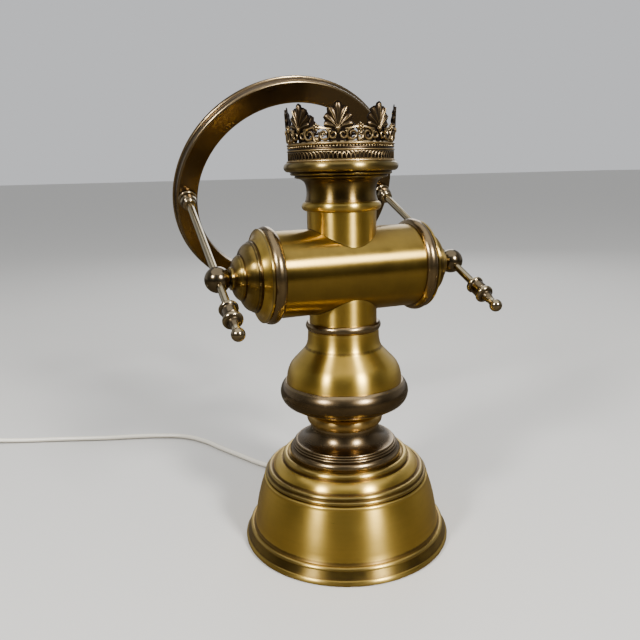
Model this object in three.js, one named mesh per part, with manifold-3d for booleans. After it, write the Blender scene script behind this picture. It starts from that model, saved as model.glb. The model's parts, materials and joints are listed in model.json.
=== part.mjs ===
// Electric table lamp in the style of a ship's lantern: a spun brass bell base, a turned foot and
// collar, a vase with a dark torus, a tube stem with a horizontal cross tube, a stamped gallery
// crown, and a tilting shade carrier hung on the two ends of the cross tube.
// Units are millimetres, +Z up. The origin is the centre of the base's underside, on the table.
// +X runs along the cross tube, and the cord leaves the base at its back (+Y).
import * as THREE from "three";
import { mergeVertices } from "three/addons/utils/BufferGeometryUtils.js";
import Module from "manifold-3d";

const wasm = await Module();
wasm.setup();

// ---------------------------------------------------------------- driving dimensions
const GAP = 0.3; // between neighbours that touch on a cut or turned face
const SLIP = 0.15; // radial clearance of a sleeve over a tube or rod
const SEAT = 0.1; // between flat faces stacked on the centre rod
const SEGMENTS = 24; // facets around every turned piece that fits inside another

const BASE_RIM_R = 79; // bell base, outer radius of its rim bead
const BASE_BELL_R = 70.8; // bell wall just above the rim
const BASE_SHOULDER_R = 62.4; // double groove at the shoulder
const BASE_TOP_R = 48.4; // ring around the top of the bell
const BASE_H = 66.6; // underside to the flat top
const BASE_WALL = 1.6;
const FELT_H = 2;
const BALLAST_R = 62;
const BALLAST_H = 13;

const FOOT_R = 43; // turned foot under the stem
const FOOT_NECK_R = 26;
const FOOT_H = 24.4;
const COLLAR_R = 29; // gilt collar, a broad bead under a thin one
const COLLAR_STEP_R = 27.6;
const COLLAR_H = 11.6;

const VASE_R = 43.4; // vase, at the band under its torus
const VASE_FOOT_R = 28.6;
const VASE_H = 61.6;
const VASE_WALL = 1.5;
const VASE_BAND_LOW = 5.4; // band's lower and upper edge above the vase's foot
const VASE_BAND_HIGH = 22.8;
const VASE_RING_R = 48.4; // dark torus around the vase

const TUBE_R = 25; // stem tubes
const TUBE_WALL = 1.5;
const STEM_LOWER = 43.7; // top of the vase to the cross tube's axis
const STEM_UPPER = 43.1; // cross tube's axis to the gallery
const TUBE_SOCKET = 14; // length of tube hidden in the vase's neck
const CROSS_R = 30.8;
const CROSS_WALL = 1.6;
const CROSS_HALF = 53.2; // half the visible length between the end rings
const END_RING_R = 34.5;
const END_RING_W = 8.8;
const CAP_R = 33; // stepped end cap, from its rim to its nose
const CAP_STEP_R = 24.2;
const CAP_DOME_R = 15.4;
const CAP_NOSE_R = 8.1;
const CAP_L = 22.4;

const GALLERY_BEAD_R = 28;
const GALLERY_COVE_R = 24.6;
const GALLERY_LIP = 2; // how far the flange under the crown stands out from it
const GALLERY_H = 33.6;
const GALLERY_WALL = 1.5;
const CROWN_R = 38.4;
const GALLERY_R = CROWN_R + GALLERY_LIP;
const CROWN_H = 37.6;
const CROWN_WALL = 1.2;
const PALMETTES = 8;
const CROWN_TURN = THREE.MathUtils.degToRad(-3.5); // how far the crown is turned on its gallery

const BALL_R = 9.2; // pivot balls of the shade carrier
const STUD_R = 3;
const ROD_R = 2.8;
const TILT = THREE.MathUtils.degToRad(65); // carrier as it stands, leaning back from upright
const LEAN_IN = 4.27; // from a ball's centre in to the middle of the ring's channel
const RING_CHANNEL = 17.4; // shade ring, from its bore to its outer wall
const RING_LIP = 2.2; // how far its rolled lip stands out from that wall
const RING_H = 8.6;
const RING_WALL = 1.4;
const RING_RISE = 122.6; // pivot axis to the underside of the ring
const FERRULE_L = 13.5;
const FINIAL_START = 32.5; // pivot axis to the finial's flange
const FINIAL_END = 66; // pivot axis to the tip of its end ball

const BOLT_R = 5; // hollow threaded rod through the whole stem
const BOLT_BORE_R = 3.4;
const HOLDER_R = 17; // lamp holder
const HOLDER_H = 44;
const LEAD_R = 1.7; // twin inner lead

const CORD_R = 2.5;
const CORD_EXIT_Z = 21;
const GROMMET_R = 5.4;

// ---------------------------------------------------------------- finishes
const finish = (color, roughness, metalness) =>
  new THREE.MeshStandardMaterial({ color, roughness, metalness });
const SATIN_BRASS = () => finish(0xb08c3c, 0.32, 1);
const DARK_BRONZE = () => finish(0x3a2c22, 0.45, 0.8);
const GILT = () => finish(0xb08a45, 0.3, 1);
const STEEL = () => finish(0x9a9a98, 0.4, 1);
const CAST_IRON = () => finish(0x3c3c3e, 0.8, 0.6);
const FELT = () => finish(0x2f3a30, 0.95, 0);
const IVORY_PVC = () => finish(0xe8e4d8, 0.45, 0);
const CERAMIC = () => finish(0xece8de, 0.35, 0);
const SCREW_BRASS = () => finish(0xc8a85a, 0.35, 1);

// ---------------------------------------------------------------- helpers
const lamp = new THREE.Group();

/** Merges a geometry's shared corners, drops slivers on the axis and turns its faces outward. */
function closed(geometry) {
  geometry.deleteAttribute("normal");
  geometry.deleteAttribute("uv");
  const merged = mergeVertices(geometry, 1e-4);
  const position = merged.attributes.position;
  const source = merged.index.array;
  const corner = (i) => new THREE.Vector3().fromBufferAttribute(position, i);
  const faces = [];
  let volume = 0;
  for (let i = 0; i < source.length; i += 3) {
    const [a, b, c] = [source[i], source[i + 1], source[i + 2]];
    if (a === b || b === c || c === a) continue;
    faces.push([a, b, c]);
    volume += corner(a).dot(corner(b).cross(corner(c)));
  }
  merged.setIndex((volume < 0 ? faces.map(([a, b, c]) => [a, c, b]) : faces).flat());
  return merged;
}

/** Turns an outline of (radius, height) about Z. */
function turned(outline, segments = SEGMENTS, divisions = 2) {
  const points = outline.getPoints(divisions);
  return closed(new THREE.LatheGeometry(points, segments).rotateX(Math.PI / 2));
}

/** Starts an outline at (radius, height). */
const from = (r, z) => new THREE.Path().moveTo(r, z);

/** A plain tube or, with no bore, a solid bar, standing on z = low. */
function sleeve(r, bore, low, high, segments = SEGMENTS) {
  const outline = from(bore, low).lineTo(r, low).lineTo(r, high).lineTo(bore, high);
  return turned(bore > 0 ? outline.closePath() : outline, segments);
}

/** Extrudes a flat shape along Z, from z = low. */
function extruded(shape, low, depth, curveSegments = 6) {
  const options = { depth, bevelEnabled: false, curveSegments };
  return closed(new THREE.ExtrudeGeometry(shape, options).translate(0, 0, low));
}

/** A rectangle with round corners, centred on the origin. */
function roundedBox(width, depth, radius) {
  const [x, y] = [width / 2, depth / 2];
  return new THREE.Shape()
    .moveTo(x - radius, -y)
    .absarc(x - radius, radius - y, radius, -Math.PI / 2, 0)
    .absarc(x - radius, y - radius, radius, 0, Math.PI / 2)
    .absarc(radius - x, y - radius, radius, Math.PI / 2, Math.PI)
    .absarc(radius - x, radius - y, radius, Math.PI, 1.5 * Math.PI);
}

/** A six-sided nut with a round hole. */
function nut(acrossFlats, hole, low, height) {
  const corner = acrossFlats / Math.sqrt(3);
  const shape = new THREE.Shape();
  for (let i = 0; i < 6; i++) {
    const turn = (i * Math.PI) / 3;
    shape[i ? "lineTo" : "moveTo"](corner * Math.cos(turn), corner * Math.sin(turn));
  }
  shape.holes.push(new THREE.Path().absarc(0, 0, hole, 0, 2 * Math.PI));
  return extruded(shape, low, height, 8);
}

/** Turns a geometry made about Z so that it lies along +X or -X. */
const alongX = (geometry, side = 1) => geometry.rotateY((side * Math.PI) / 2);

/** Turns a geometry made about Z so that it lies along +Y. */
const alongY = (geometry) => geometry.rotateX(-Math.PI / 2);

function toSolid(geometry) {
  const vertProperties = new Float32Array(geometry.attributes.position.array);
  const triVerts = new Uint32Array(geometry.index.array);
  return new wasm.Manifold(new wasm.Mesh({ numProp: 3, vertProperties, triVerts }));
}

function toGeometry(solid) {
  const mesh = solid.getMesh();
  const geometry = new THREE.BufferGeometry();
  geometry.setAttribute("position", new THREE.BufferAttribute(mesh.vertProperties, 3));
  return geometry.setIndex(new THREE.BufferAttribute(mesh.triVerts, 1));
}

/** Cuts tools out of a body. */
function cut(body, ...tools) {
  return toGeometry(tools.reduce((solid, tool) => solid.subtract(toSolid(tool)), toSolid(body)));
}

/** Adds a named piece to a group and returns it, so that it can be placed. */
function piece(name, geometry, material, group = lamp) {
  const mesh = new THREE.Mesh(geometry, material);
  mesh.name = name;
  group.add(mesh);
  return mesh;
}

// ---------------------------------------------------------------- heights up the stem
const footZ = BASE_H + SEAT;
const collarZ = footZ + FOOT_H + SEAT;
const vaseZ = collarZ + COLLAR_H + SEAT;
const vaseTopZ = vaseZ + VASE_H;
const axisZ = vaseTopZ + STEM_LOWER;
const galleryZ = axisZ + STEM_UPPER;
const crownZ = galleryZ + GALLERY_H + SEAT;
const boltHole = BOLT_R + SLIP;

// ---------------------------------------------------------------- base
{
  const w = BASE_WALL;
  const groove = 0.9; // depth of the shoulder and top grooves
  const top = BASE_H;
  const shoulderZ = BASE_H - 13.3;
  const outline = from(BASE_RIM_R - w, 0.4)
    .lineTo(BASE_RIM_R - 0.4, 0.4)
    .quadraticCurveTo(BASE_RIM_R + 0.6, 2.4, BASE_RIM_R - 0.6, 4.4)
    .lineTo(BASE_RIM_R - 3.4, 10.4)
    .quadraticCurveTo(BASE_RIM_R - 4.4, 12.2, BASE_RIM_R - 6, 12)
    .quadraticCurveTo(BASE_BELL_R + 0.6, 12.6, BASE_BELL_R, 17)
    .quadraticCurveTo(BASE_BELL_R - 1.8, BASE_H / 2, BASE_SHOULDER_R + 0.8, shoulderZ - 1.5)
    .lineTo(BASE_SHOULDER_R - groove, shoulderZ)
    .quadraticCurveTo(BASE_SHOULDER_R - 1.2, shoulderZ + 3.3, BASE_SHOULDER_R - 4.6, shoulderZ + 2.9)
    .lineTo(BASE_SHOULDER_R - 5.6, shoulderZ + 2.7)
    .lineTo(BASE_TOP_R + 1.4, top - 3.2)
    .lineTo(BASE_TOP_R, top - 2.6)
    .quadraticCurveTo(BASE_TOP_R + 0.6, top + 1.6, BASE_TOP_R - 2.4, top + 1.4)
    .lineTo(FOOT_R + GAP, top)
    .lineTo(boltHole, top)
    .lineTo(boltHole, top - w)
    .lineTo(BASE_TOP_R - 3, top - w)
    .lineTo(BASE_SHOULDER_R - 5, shoulderZ)
    .lineTo(BASE_SHOULDER_R - 2, shoulderZ - 3.3)
    .lineTo(BASE_BELL_R - w - 1.4, BASE_H * 0.42)
    .lineTo(BASE_BELL_R - w - 0.4, 12)
    .lineTo(BASE_RIM_R - 5.4, 9)
    .lineTo(BASE_RIM_R - w - 0.6, 4)
    .closePath();
  const cordHole = alongY(sleeve(GROMMET_R - 1.4 + SLIP, 0, 0, BASE_RIM_R, 16));
  cordHole.translate(0, BASE_BELL_R / 2, CORD_EXIT_Z);
  piece("base_shell", cut(turned(outline, 32), cordHole), SATIN_BRASS());

  piece("base_felt", sleeve(BASE_RIM_R - w - 1, 0, 0, FELT_H, 32), FELT());

  const ballastZ = FELT_H + SEAT;
  const nutRoom = 6.4;
  const ballast = from(boltHole, ballastZ + nutRoom)
    .lineTo(12, ballastZ + nutRoom)
    .lineTo(12, ballastZ)
    .lineTo(BALLAST_R, ballastZ)
    .lineTo(BALLAST_R, ballastZ + BALLAST_H - 2)
    .lineTo(BALLAST_R - 2, ballastZ + BALLAST_H)
    .lineTo(boltHole, ballastZ + BALLAST_H)
    .closePath();
  piece("ballast_weight", turned(ballast, 24, 1), CAST_IRON());
  piece("base_nut", nut(15, boltHole, ballastZ + 0.2, 5), STEEL());
  piece("base_washer", sleeve(11, boltHole, ballastZ + 5.3, ballastZ + 6.3, 24), STEEL());

  // The grommet is snapped into the bell's wall from outside, its flange standing proud.
  const flangeY = BASE_BELL_R + 0.3;
  const bore = CORD_R - 0.5; // the cord's jacket is stripped inside the flange
  const throat = GROMMET_R - 1.4;
  const grommet = from(bore, flangeY - 5)
    .lineTo(throat, flangeY - 5)
    .lineTo(throat, flangeY)
    .lineTo(GROMMET_R, flangeY)
    .lineTo(GROMMET_R, flangeY + 1.4)
    .lineTo(throat, flangeY + 3)
    .lineTo(bore, flangeY + 3)
    .closePath();
  piece("cord_grommet", alongY(turned(grommet, 16, 1)), IVORY_PVC()).position.z = CORD_EXIT_Z;
}

// ---------------------------------------------------------------- foot, collar and vase
{
  const foot = from(boltHole, 0)
    .lineTo(FOOT_R - 0.6, 0)
    .quadraticCurveTo(FOOT_R + 0.8, 3, FOOT_R - 1.6, 6.4)
    .lineTo(FOOT_R - 2, 7.4)
    .lineTo(FOOT_R - 3.4, 9)
    .lineTo(FOOT_R - 5, 10.6)
    .lineTo(FOOT_R - 6.2, 11.4)
    .quadraticCurveTo(FOOT_NECK_R + 3, 13, FOOT_NECK_R, FOOT_H - 4)
    .lineTo(FOOT_NECK_R, FOOT_H)
    .lineTo(boltHole, FOOT_H)
    .closePath();
  piece("foot_collar", turned(foot), DARK_BRONZE()).position.z = footZ;

  const step = COLLAR_H * 0.8; // height of the collar's broad bead
  const collar = from(boltHole, 0)
    .lineTo(COLLAR_R - 1.4, 0)
    .quadraticCurveTo(COLLAR_R + 1.4, step / 2, COLLAR_R - 1.4, step)
    .lineTo(COLLAR_STEP_R - 0.6, step)
    .quadraticCurveTo(COLLAR_STEP_R + 0.6, (step + COLLAR_H) / 2, COLLAR_STEP_R - 0.6, COLLAR_H)
    .lineTo(boltHole, COLLAR_H)
    .closePath();
  piece("neck_collar", turned(collar), GILT()).position.z = collarZ;

  const neckR = TUBE_R + 1.5;
  const neckBore = TUBE_R + SLIP;
  const neckLow = VASE_H - TUBE_SOCKET + 0.4; // foot of the vase's neck
  const vase = from(boltHole, 0)
    .lineTo(VASE_FOOT_R, 0)
    .quadraticCurveTo(VASE_R - 4, VASE_BAND_LOW * 0.3, VASE_R, VASE_BAND_LOW)
    .lineTo(VASE_R, VASE_BAND_HIGH)
    .quadraticCurveTo(VASE_R - 0.2, neckLow - 15.5, VASE_R - 5, neckLow - 10.6)
    .quadraticCurveTo(TUBE_R + 8.2, neckLow - 5.4, TUBE_R + 4.6, neckLow - 1.3)
    .quadraticCurveTo(neckR, neckLow + 2.2, neckR, neckLow + 12)
    .lineTo(neckR, VASE_H)
    .lineTo(neckBore, VASE_H)
    .lineTo(neckBore, neckLow - 0.4)
    .lineTo(TUBE_R + 2, neckLow - 0.4)
    .lineTo(VASE_R - 8, neckLow - 11)
    .lineTo(VASE_R - VASE_WALL, VASE_BAND_HIGH + 1)
    .lineTo(VASE_R - VASE_WALL, VASE_BAND_LOW)
    .lineTo(VASE_FOOT_R - 1, VASE_WALL)
    .lineTo(boltHole, VASE_WALL)
    .closePath();
  piece("vase_body", turned(vase), SATIN_BRASS()).position.z = vaseZ;

  const bandMiddle = (VASE_BAND_LOW + VASE_BAND_HIGH) / 2;
  const half = (VASE_BAND_HIGH - VASE_BAND_LOW) / 2 - 0.3;
  const torus = from(VASE_R + SLIP, -half)
    .quadraticCurveTo(VASE_RING_R, 0.8 - half, VASE_RING_R, 0)
    .quadraticCurveTo(VASE_RING_R, half - 0.8, VASE_R + SLIP, half)
    .closePath();
  piece("vase_ring", turned(torus, SEGMENTS, 3), DARK_BRONZE()).position.z = vaseZ + bandMiddle;

  const bead = 5.8; // height of the thin ring on the vase's neck
  const ring = from(TUBE_R + SLIP, 0)
    .lineTo(TUBE_R + 1.6, 0)
    .quadraticCurveTo(TUBE_R + 4.4, bead / 2, TUBE_R + 1.6, bead)
    .lineTo(TUBE_R + SLIP, bead)
    .closePath();
  piece("neck_ring", turned(ring), DARK_BRONZE()).position.z = vaseTopZ + SEAT;
}

// ---------------------------------------------------------------- stem and cross tube
{
  const saddle = alongX(sleeve(CROSS_R + GAP, 0, -2 * TUBE_R, 2 * TUBE_R));
  saddle.translate(0, 0, axisZ);
  const tubeBore = TUBE_R - TUBE_WALL;
  const lower = sleeve(TUBE_R, tubeBore, vaseTopZ - TUBE_SOCKET + GAP, axisZ);
  piece("lower_tube", cut(lower, saddle), SATIN_BRASS());
  const upper = sleeve(TUBE_R, tubeBore, axisZ, galleryZ);
  piece("upper_tube", cut(upper, saddle), SATIN_BRASS());

  const cross = alongX(
    sleeve(CROSS_R, CROSS_R - CROSS_WALL, -CROSS_HALF - END_RING_W, CROSS_HALF + END_RING_W),
  );
  const boltWay = sleeve(boltHole, 0, -2 * CROSS_R, 2 * CROSS_R, 16);
  piece("cross_tube", cut(cross, boltWay), SATIN_BRASS()).position.z = axisZ;

  const endRing = () =>
    turned(
      from(CROSS_R + SLIP, 0)
        .lineTo(CROSS_R + 1.2, 0)
        .quadraticCurveTo(END_RING_R + 0.4, 0.2, END_RING_R, END_RING_W / 2)
        .quadraticCurveTo(END_RING_R + 0.4, END_RING_W - 0.2, CROSS_R + 1.2, END_RING_W)
        .lineTo(CROSS_R + SLIP, END_RING_W)
        .closePath(),
      SEGMENTS,
      3,
    );
  const studHole = STUD_R + 0.25;
  const room = 11; // radius of the hollow that holds the friction washer and nut
  const skin = 6.2; // solid metal left at the nose
  const endCap = () =>
    turned(
      from(room, 0)
        .lineTo(CAP_R, 0)
        .lineTo(CAP_R - 0.6, 1)
        .quadraticCurveTo(CAP_STEP_R + 3, 2, CAP_STEP_R + 0.6, 5.6)
        .lineTo(CAP_STEP_R + 0.6, 8)
        .quadraticCurveTo(CAP_STEP_R - 1, 12.6, CAP_DOME_R + 1, 14.6)
        .lineTo(CAP_DOME_R, 15)
        .lineTo(CAP_DOME_R, 16.6)
        .quadraticCurveTo(CAP_DOME_R - 1.6, 19.6, CAP_NOSE_R, 20.4)
        .lineTo(CAP_NOSE_R, CAP_L)
        .lineTo(studHole, CAP_L)
        .lineTo(studHole, CAP_L - skin)
        .lineTo(room, CAP_L - skin)
        .closePath(),
    );
  for (const [side, sign] of [["left", -1], ["right", 1]]) {
    const ring = piece(`${side}_end_ring`, alongX(endRing(), sign), DARK_BRONZE());
    ring.position.set(sign * (CROSS_HALF + SEAT), 0, axisZ);
    const cap = piece(`${side}_end_cap`, alongX(endCap(), sign), SATIN_BRASS());
    cap.position.set(sign * (CROSS_HALF + END_RING_W + 2 * SEAT), 0, axisZ);
  }
}
const capEnd = CROSS_HALF + END_RING_W + 2 * SEAT + CAP_L;
const ballX = capEnd + 0.4 + BALL_R * Math.sin(Math.PI / 3);

// ---------------------------------------------------------------- gallery and crown
{
  const w = GALLERY_WALL;
  const h = GALLERY_H;
  const tubeFit = TUBE_R - TUBE_WALL - SLIP;
  const outline = from(tubeFit - w, -6)
    .lineTo(tubeFit, -6)
    .lineTo(tubeFit, SEAT)
    .lineTo(TUBE_R + 0.6, SEAT)
    .quadraticCurveTo(GALLERY_BEAD_R + 2, 3.1, TUBE_R + 0.6, 6.2)
    .lineTo(GALLERY_COVE_R + 0.2, 8)
    .quadraticCurveTo(GALLERY_COVE_R - 0.6, 14, GALLERY_COVE_R + 3, h - 14)
    .lineTo(GALLERY_R - 8.6, h - 11.8)
    .lineTo(GALLERY_R - 8.4, h - 9.6)
    .lineTo(GALLERY_R - 4.2, h - 9)
    .lineTo(GALLERY_R - 4, h - 6.4)
    .lineTo(GALLERY_R - 1, h - 6)
    .quadraticCurveTo(GALLERY_R + 1, h - 3, GALLERY_R - 1, h)
    .lineTo(CROWN_R - CROWN_WALL - 2.2, h)
    .lineTo(CROWN_R - CROWN_WALL - 2.2, h - 4)
    .lineTo(GALLERY_COVE_R + 3, h - 9)
    .lineTo(GALLERY_COVE_R - w - 0.6, h - 14)
    .lineTo(GALLERY_COVE_R - w - 0.6, 3)
    .lineTo(boltHole, 3)
    .lineTo(boltHole, 1.5)
    .lineTo(tubeFit - w, 1.5)
    .closePath();
  piece("gallery_cup", turned(outline), DARK_BRONZE()).position.z = galleryZ;

  // The crown is a thin stamped band, pierced between its leaves and inside its scrolls.
  const bandTop = 12.6; // top of the lattice and the beaded border
  const leafFoot = 21.4; // where the leaves part
  const outer = CROWN_R;
  const bore = CROWN_R - CROWN_WALL;
  const band = turned(
    from(bore, 0)
      .lineTo(outer, 0)
      .lineTo(outer - 0.6, 7.4)
      .lineTo(outer - 0.2, bandTop - 2.4)
      .lineTo(outer - 0.6, bandTop)
      .lineTo(outer, CROWN_H)
      .lineTo(bore, CROWN_H)
      .lineTo(bore - 0.6, bandTop)
      .lineTo(bore - 0.6, 7.4)
      .closePath(),
    40,
  );
  const pitch = (2 * Math.PI * CROWN_R) / PALMETTES;
  const notch = new THREE.Shape()
    .moveTo(-0.5, leafFoot)
    .lineTo(0.5, leafFoot)
    .quadraticCurveTo(pitch * 0.1, CROWN_H - 7, pitch * 0.36, CROWN_H + 0.4)
    .lineTo(pitch * 0.4, CROWN_H + 2)
    .lineTo(-pitch * 0.4, CROWN_H + 2)
    .lineTo(-pitch * 0.36, CROWN_H + 0.4)
    .quadraticCurveTo(-pitch * 0.1, CROWN_H - 7, -0.5, leafFoot);
  const scroll = new THREE.Shape().absellipse(0, 16.6, 2, 2.6, 0, 2 * Math.PI);
  const cutters = [];
  const pierce = (shape, turn) => {
    const tool = extruded(shape, CROWN_R - 6, 12, 3).rotateX(Math.PI / 2).rotateZ(Math.PI);
    cutters.push(tool.rotateZ(turn));
  };
  for (let i = 0; i < PALMETTES; i++) {
    const turn = CROWN_TURN + (i * 2 * Math.PI) / PALMETTES;
    pierce(notch, turn);
    pierce(scroll, turn);
  }
  piece("gallery_crown", cut(band, ...cutters), DARK_BRONZE()).position.z = crownZ;
}

// ---------------------------------------------------------------- lamp holder
const holderZ = galleryZ + 3 + SEAT;
{
  const floor = 12; // height of the holder's cap below its shell
  const h = HOLDER_H;
  piece("holder_nut", nut(15, boltHole, holderZ, 4.6), STEEL());
  const cap = from(boltHole, 4.8)
    .lineTo(HOLDER_R - 4, 4.8)
    .quadraticCurveTo(HOLDER_R, 5.4, HOLDER_R, floor)
    .lineTo(HOLDER_R - 1, floor)
    .quadraticCurveTo(HOLDER_R - 1.2, 6.4, HOLDER_R - 4.4, 6)
    .lineTo(boltHole, 6)
    .closePath();
  piece("holder_cap", turned(cap, 20), SCREW_BRASS()).position.z = holderZ;
  const shellR = HOLDER_R;
  piece("holder_shell", sleeve(shellR, shellR - 0.9, floor + SEAT, h, 20), SCREW_BRASS())
    .position.z = holderZ;
  const linerR = shellR - 0.9 - SLIP;
  const liner = from(BOLT_BORE_R, floor + 0.4)
    .lineTo(linerR, floor + 0.4)
    .lineTo(linerR, h - 0.6)
    .lineTo(linerR - 1.4, h - 0.6)
    .lineTo(linerR - 1.4, floor + 7)
    .lineTo(BOLT_BORE_R, floor + 7)
    .closePath();
  piece("holder_liner", turned(liner, 20, 1), CERAMIC()).position.z = holderZ;
  const screwR = linerR - 1.4 - SLIP;
  piece("holder_screw_shell", sleeve(screwR, screwR - 0.5, floor + 7.2, h - 3, 20), SCREW_BRASS())
    .position.z = holderZ;
  piece("holder_contact", sleeve(4.6, 0, floor + 7.2, floor + 8.4, 20), SCREW_BRASS())
    .position.z = holderZ;

  // The hollow rod clamps base, stem and holder; the lead enters it through a slot in the base.
  const boltLow = FELT_H + SEAT + 0.6;
  const boltHigh = holderZ + 11;
  const bendR = 8;
  const leadZ = CORD_EXIT_Z;
  const slot = extruded(roundedBox(2 * LEAD_R + 1.2, 14, 2), 0, BOLT_R + 2, 4);
  alongY(slot).translate(0, 0, leadZ + 3);
  piece("threaded_rod", cut(sleeve(BOLT_R, BOLT_BORE_R, boltLow, boltHigh, 20), slot), STEEL());

  const path = new THREE.CurvePath();
  const start = new THREE.Vector3(0, BASE_BELL_R - 5, leadZ);
  const turnIn = new THREE.Vector3(0, bendR, leadZ);
  const turnUp = new THREE.Vector3(0, 0, leadZ + bendR);
  path.add(new THREE.LineCurve3(start, turnIn));
  path.add(new THREE.QuadraticBezierCurve3(turnIn, new THREE.Vector3(0, 0, leadZ), turnUp));
  path.add(new THREE.LineCurve3(turnUp, new THREE.Vector3(0, 0, boltHigh + 6)));
  const section = new THREE.Shape().absarc(0, 0, LEAD_R, 0, 2 * Math.PI);
  const options = { extrudePath: path, steps: 36, curveSegments: 3 };
  piece("inner_lead", closed(new THREE.ExtrudeGeometry(section, options)), IVORY_PVC());
}

// ---------------------------------------------------------------- tilting shade carrier
{
  const carrier = new THREE.Group();
  carrier.position.z = axisZ;
  carrier.rotation.x = -TILT;
  lamp.add(carrier);

  // The ring is a channel, open on top, whose floor carries the shade.
  const h = RING_H;
  const w = RING_WALL;
  const seatR = ballX - LEAN_IN;
  const wallR = seatR + RING_CHANNEL / 2;
  const boreR = seatR - RING_CHANNEL / 2;
  const lipR = wallR + RING_LIP;
  const fillet = 0.8; // where the channel's floor meets its walls
  const ring = from(boreR + 0.8, 0)
    .lineTo(wallR - 1.6, 0)
    .lineTo(wallR, 1.6)
    .lineTo(wallR, h - 2.2)
    .lineTo(lipR - 0.5, h - 2.4)
    .lineTo(lipR, h - 1.2)
    .lineTo(lipR - 0.8, h)
    .lineTo(wallR - w, h)
    .lineTo(wallR - w, w + fillet)
    .lineTo(wallR - w - fillet, w)
    .lineTo(boreR + w + fillet, w)
    .lineTo(boreR + w, w + fillet)
    .lineTo(boreR + w, h - 1)
    .lineTo(boreR, h - 1)
    .lineTo(boreR, 0.8)
    .closePath();
  piece("shade_ring", turned(ring, 48, 1), DARK_BRONZE(), carrier).position.z = RING_RISE;

  const lean = Math.atan2(LEAN_IN, RING_RISE);
  const rodHole = ROD_R + SLIP;
  for (const [side, sign] of [["left", -1], ["right", 1]]) {
    // Each rod leans in a little, from the pivot ball to the middle of the ring's channel.
    const arm = new THREE.Group();
    arm.position.x = sign * ballX;
    arm.rotation.y = -sign * lean;
    carrier.add(arm);
    const reach = RING_RISE / Math.cos(lean);

    const ball = new THREE.SphereGeometry(BALL_R, 16, 10);
    const rodWay = sleeve(rodHole, 0, -2 * BALL_R, 2 * BALL_R, 16);
    const face = BALL_R * Math.sin(Math.PI / 3);
    const flat = sleeve(BALL_R, 0, face, 2 * BALL_R, 16);
    alongX(flat, -sign).rotateY(sign * lean);
    const studWay = alongX(sleeve(STUD_R + SLIP, 0, ROD_R, 2 * BALL_R, 12), -sign);
    studWay.rotateY(sign * lean);
    piece(`${side}_ball`, cut(closed(ball), rodWay, flat, studWay), SATIN_BRASS(), arm);

    const ferruleLow = reach - FERRULE_L - GAP;
    piece(`${side}_rod`, sleeve(ROD_R, 0, -FINIAL_END + 8, ferruleLow + 5, 16), GILT(), arm);
    const socket = 5.2; // depth of the rod's seat in the ferrule
    const ferrule = from(0, socket)
      .lineTo(rodHole, socket)
      .lineTo(rodHole, 0)
      .lineTo(ROD_R + 1, 0)
      .quadraticCurveTo(5.4, 0.6, 6.4, 5)
      .lineTo(6.4, 7.6)
      .lineTo(5.2, 8.4)
      .lineTo(5.2, 9.6)
      .lineTo(7.5, 10.4)
      .lineTo(7.5, FERRULE_L - 0.8)
      .lineTo(6.6, FERRULE_L - GAP)
      .lineTo(0, FERRULE_L - GAP);
    piece(`${side}_ferrule`, turned(ferrule, 16), SATIN_BRASS(), arm).position.z = ferruleLow;

    const tip = 4.3; // radius of the end ball
    const length = FINIAL_END - FINIAL_START;
    const finial = new THREE.Path()
      .moveTo(0, length)
      .quadraticCurveTo(tip * 1.3, length, tip, length - tip)
      .quadraticCurveTo(tip, length - 1.7 * tip, 2.6, length - 2 * tip)
      .lineTo(3.4, length - 2 * tip - 1.6)
      .quadraticCurveTo(8.8, length - 2 * tip - 6, 6, length - 2 * tip - 13)
      .lineTo(5.4, 6)
      .lineTo(6.8, 3)
      .lineTo(6.8, 0.6)
      .lineTo(5.6, 0)
      .lineTo(rodHole, 0)
      .lineTo(rodHole, length - 7.6)
      .lineTo(0, length - 7.6);
    const knob = piece(`${side}_finial`, turned(finial, 16), SATIN_BRASS(), arm);
    knob.rotation.x = Math.PI;
    knob.position.z = -FINIAL_START;

    // Stud, spring washer and nut hold the ball against the cap's nose with friction.
    const inner = CROSS_HALF + END_RING_W + 4;
    const studEnd = ballX - ROD_R - 1.2;
    const stud = alongX(sleeve(STUD_R, 0, inner, studEnd, 16), sign);
    piece(`${side}_pivot_stud`, stud, STEEL(), carrier);
    const seat = capEnd - 6.2;
    const washer = alongX(sleeve(7, STUD_R + SLIP, seat - 1.6, seat - 0.5, 20), sign);
    piece(`${side}_spring_washer`, washer, STEEL(), carrier);
    piece(`${side}_pivot_nut`, alongX(nut(10, STUD_R + SLIP, seat - 6.4, 4.6), sign), STEEL(), carrier);
  }
}

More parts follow.
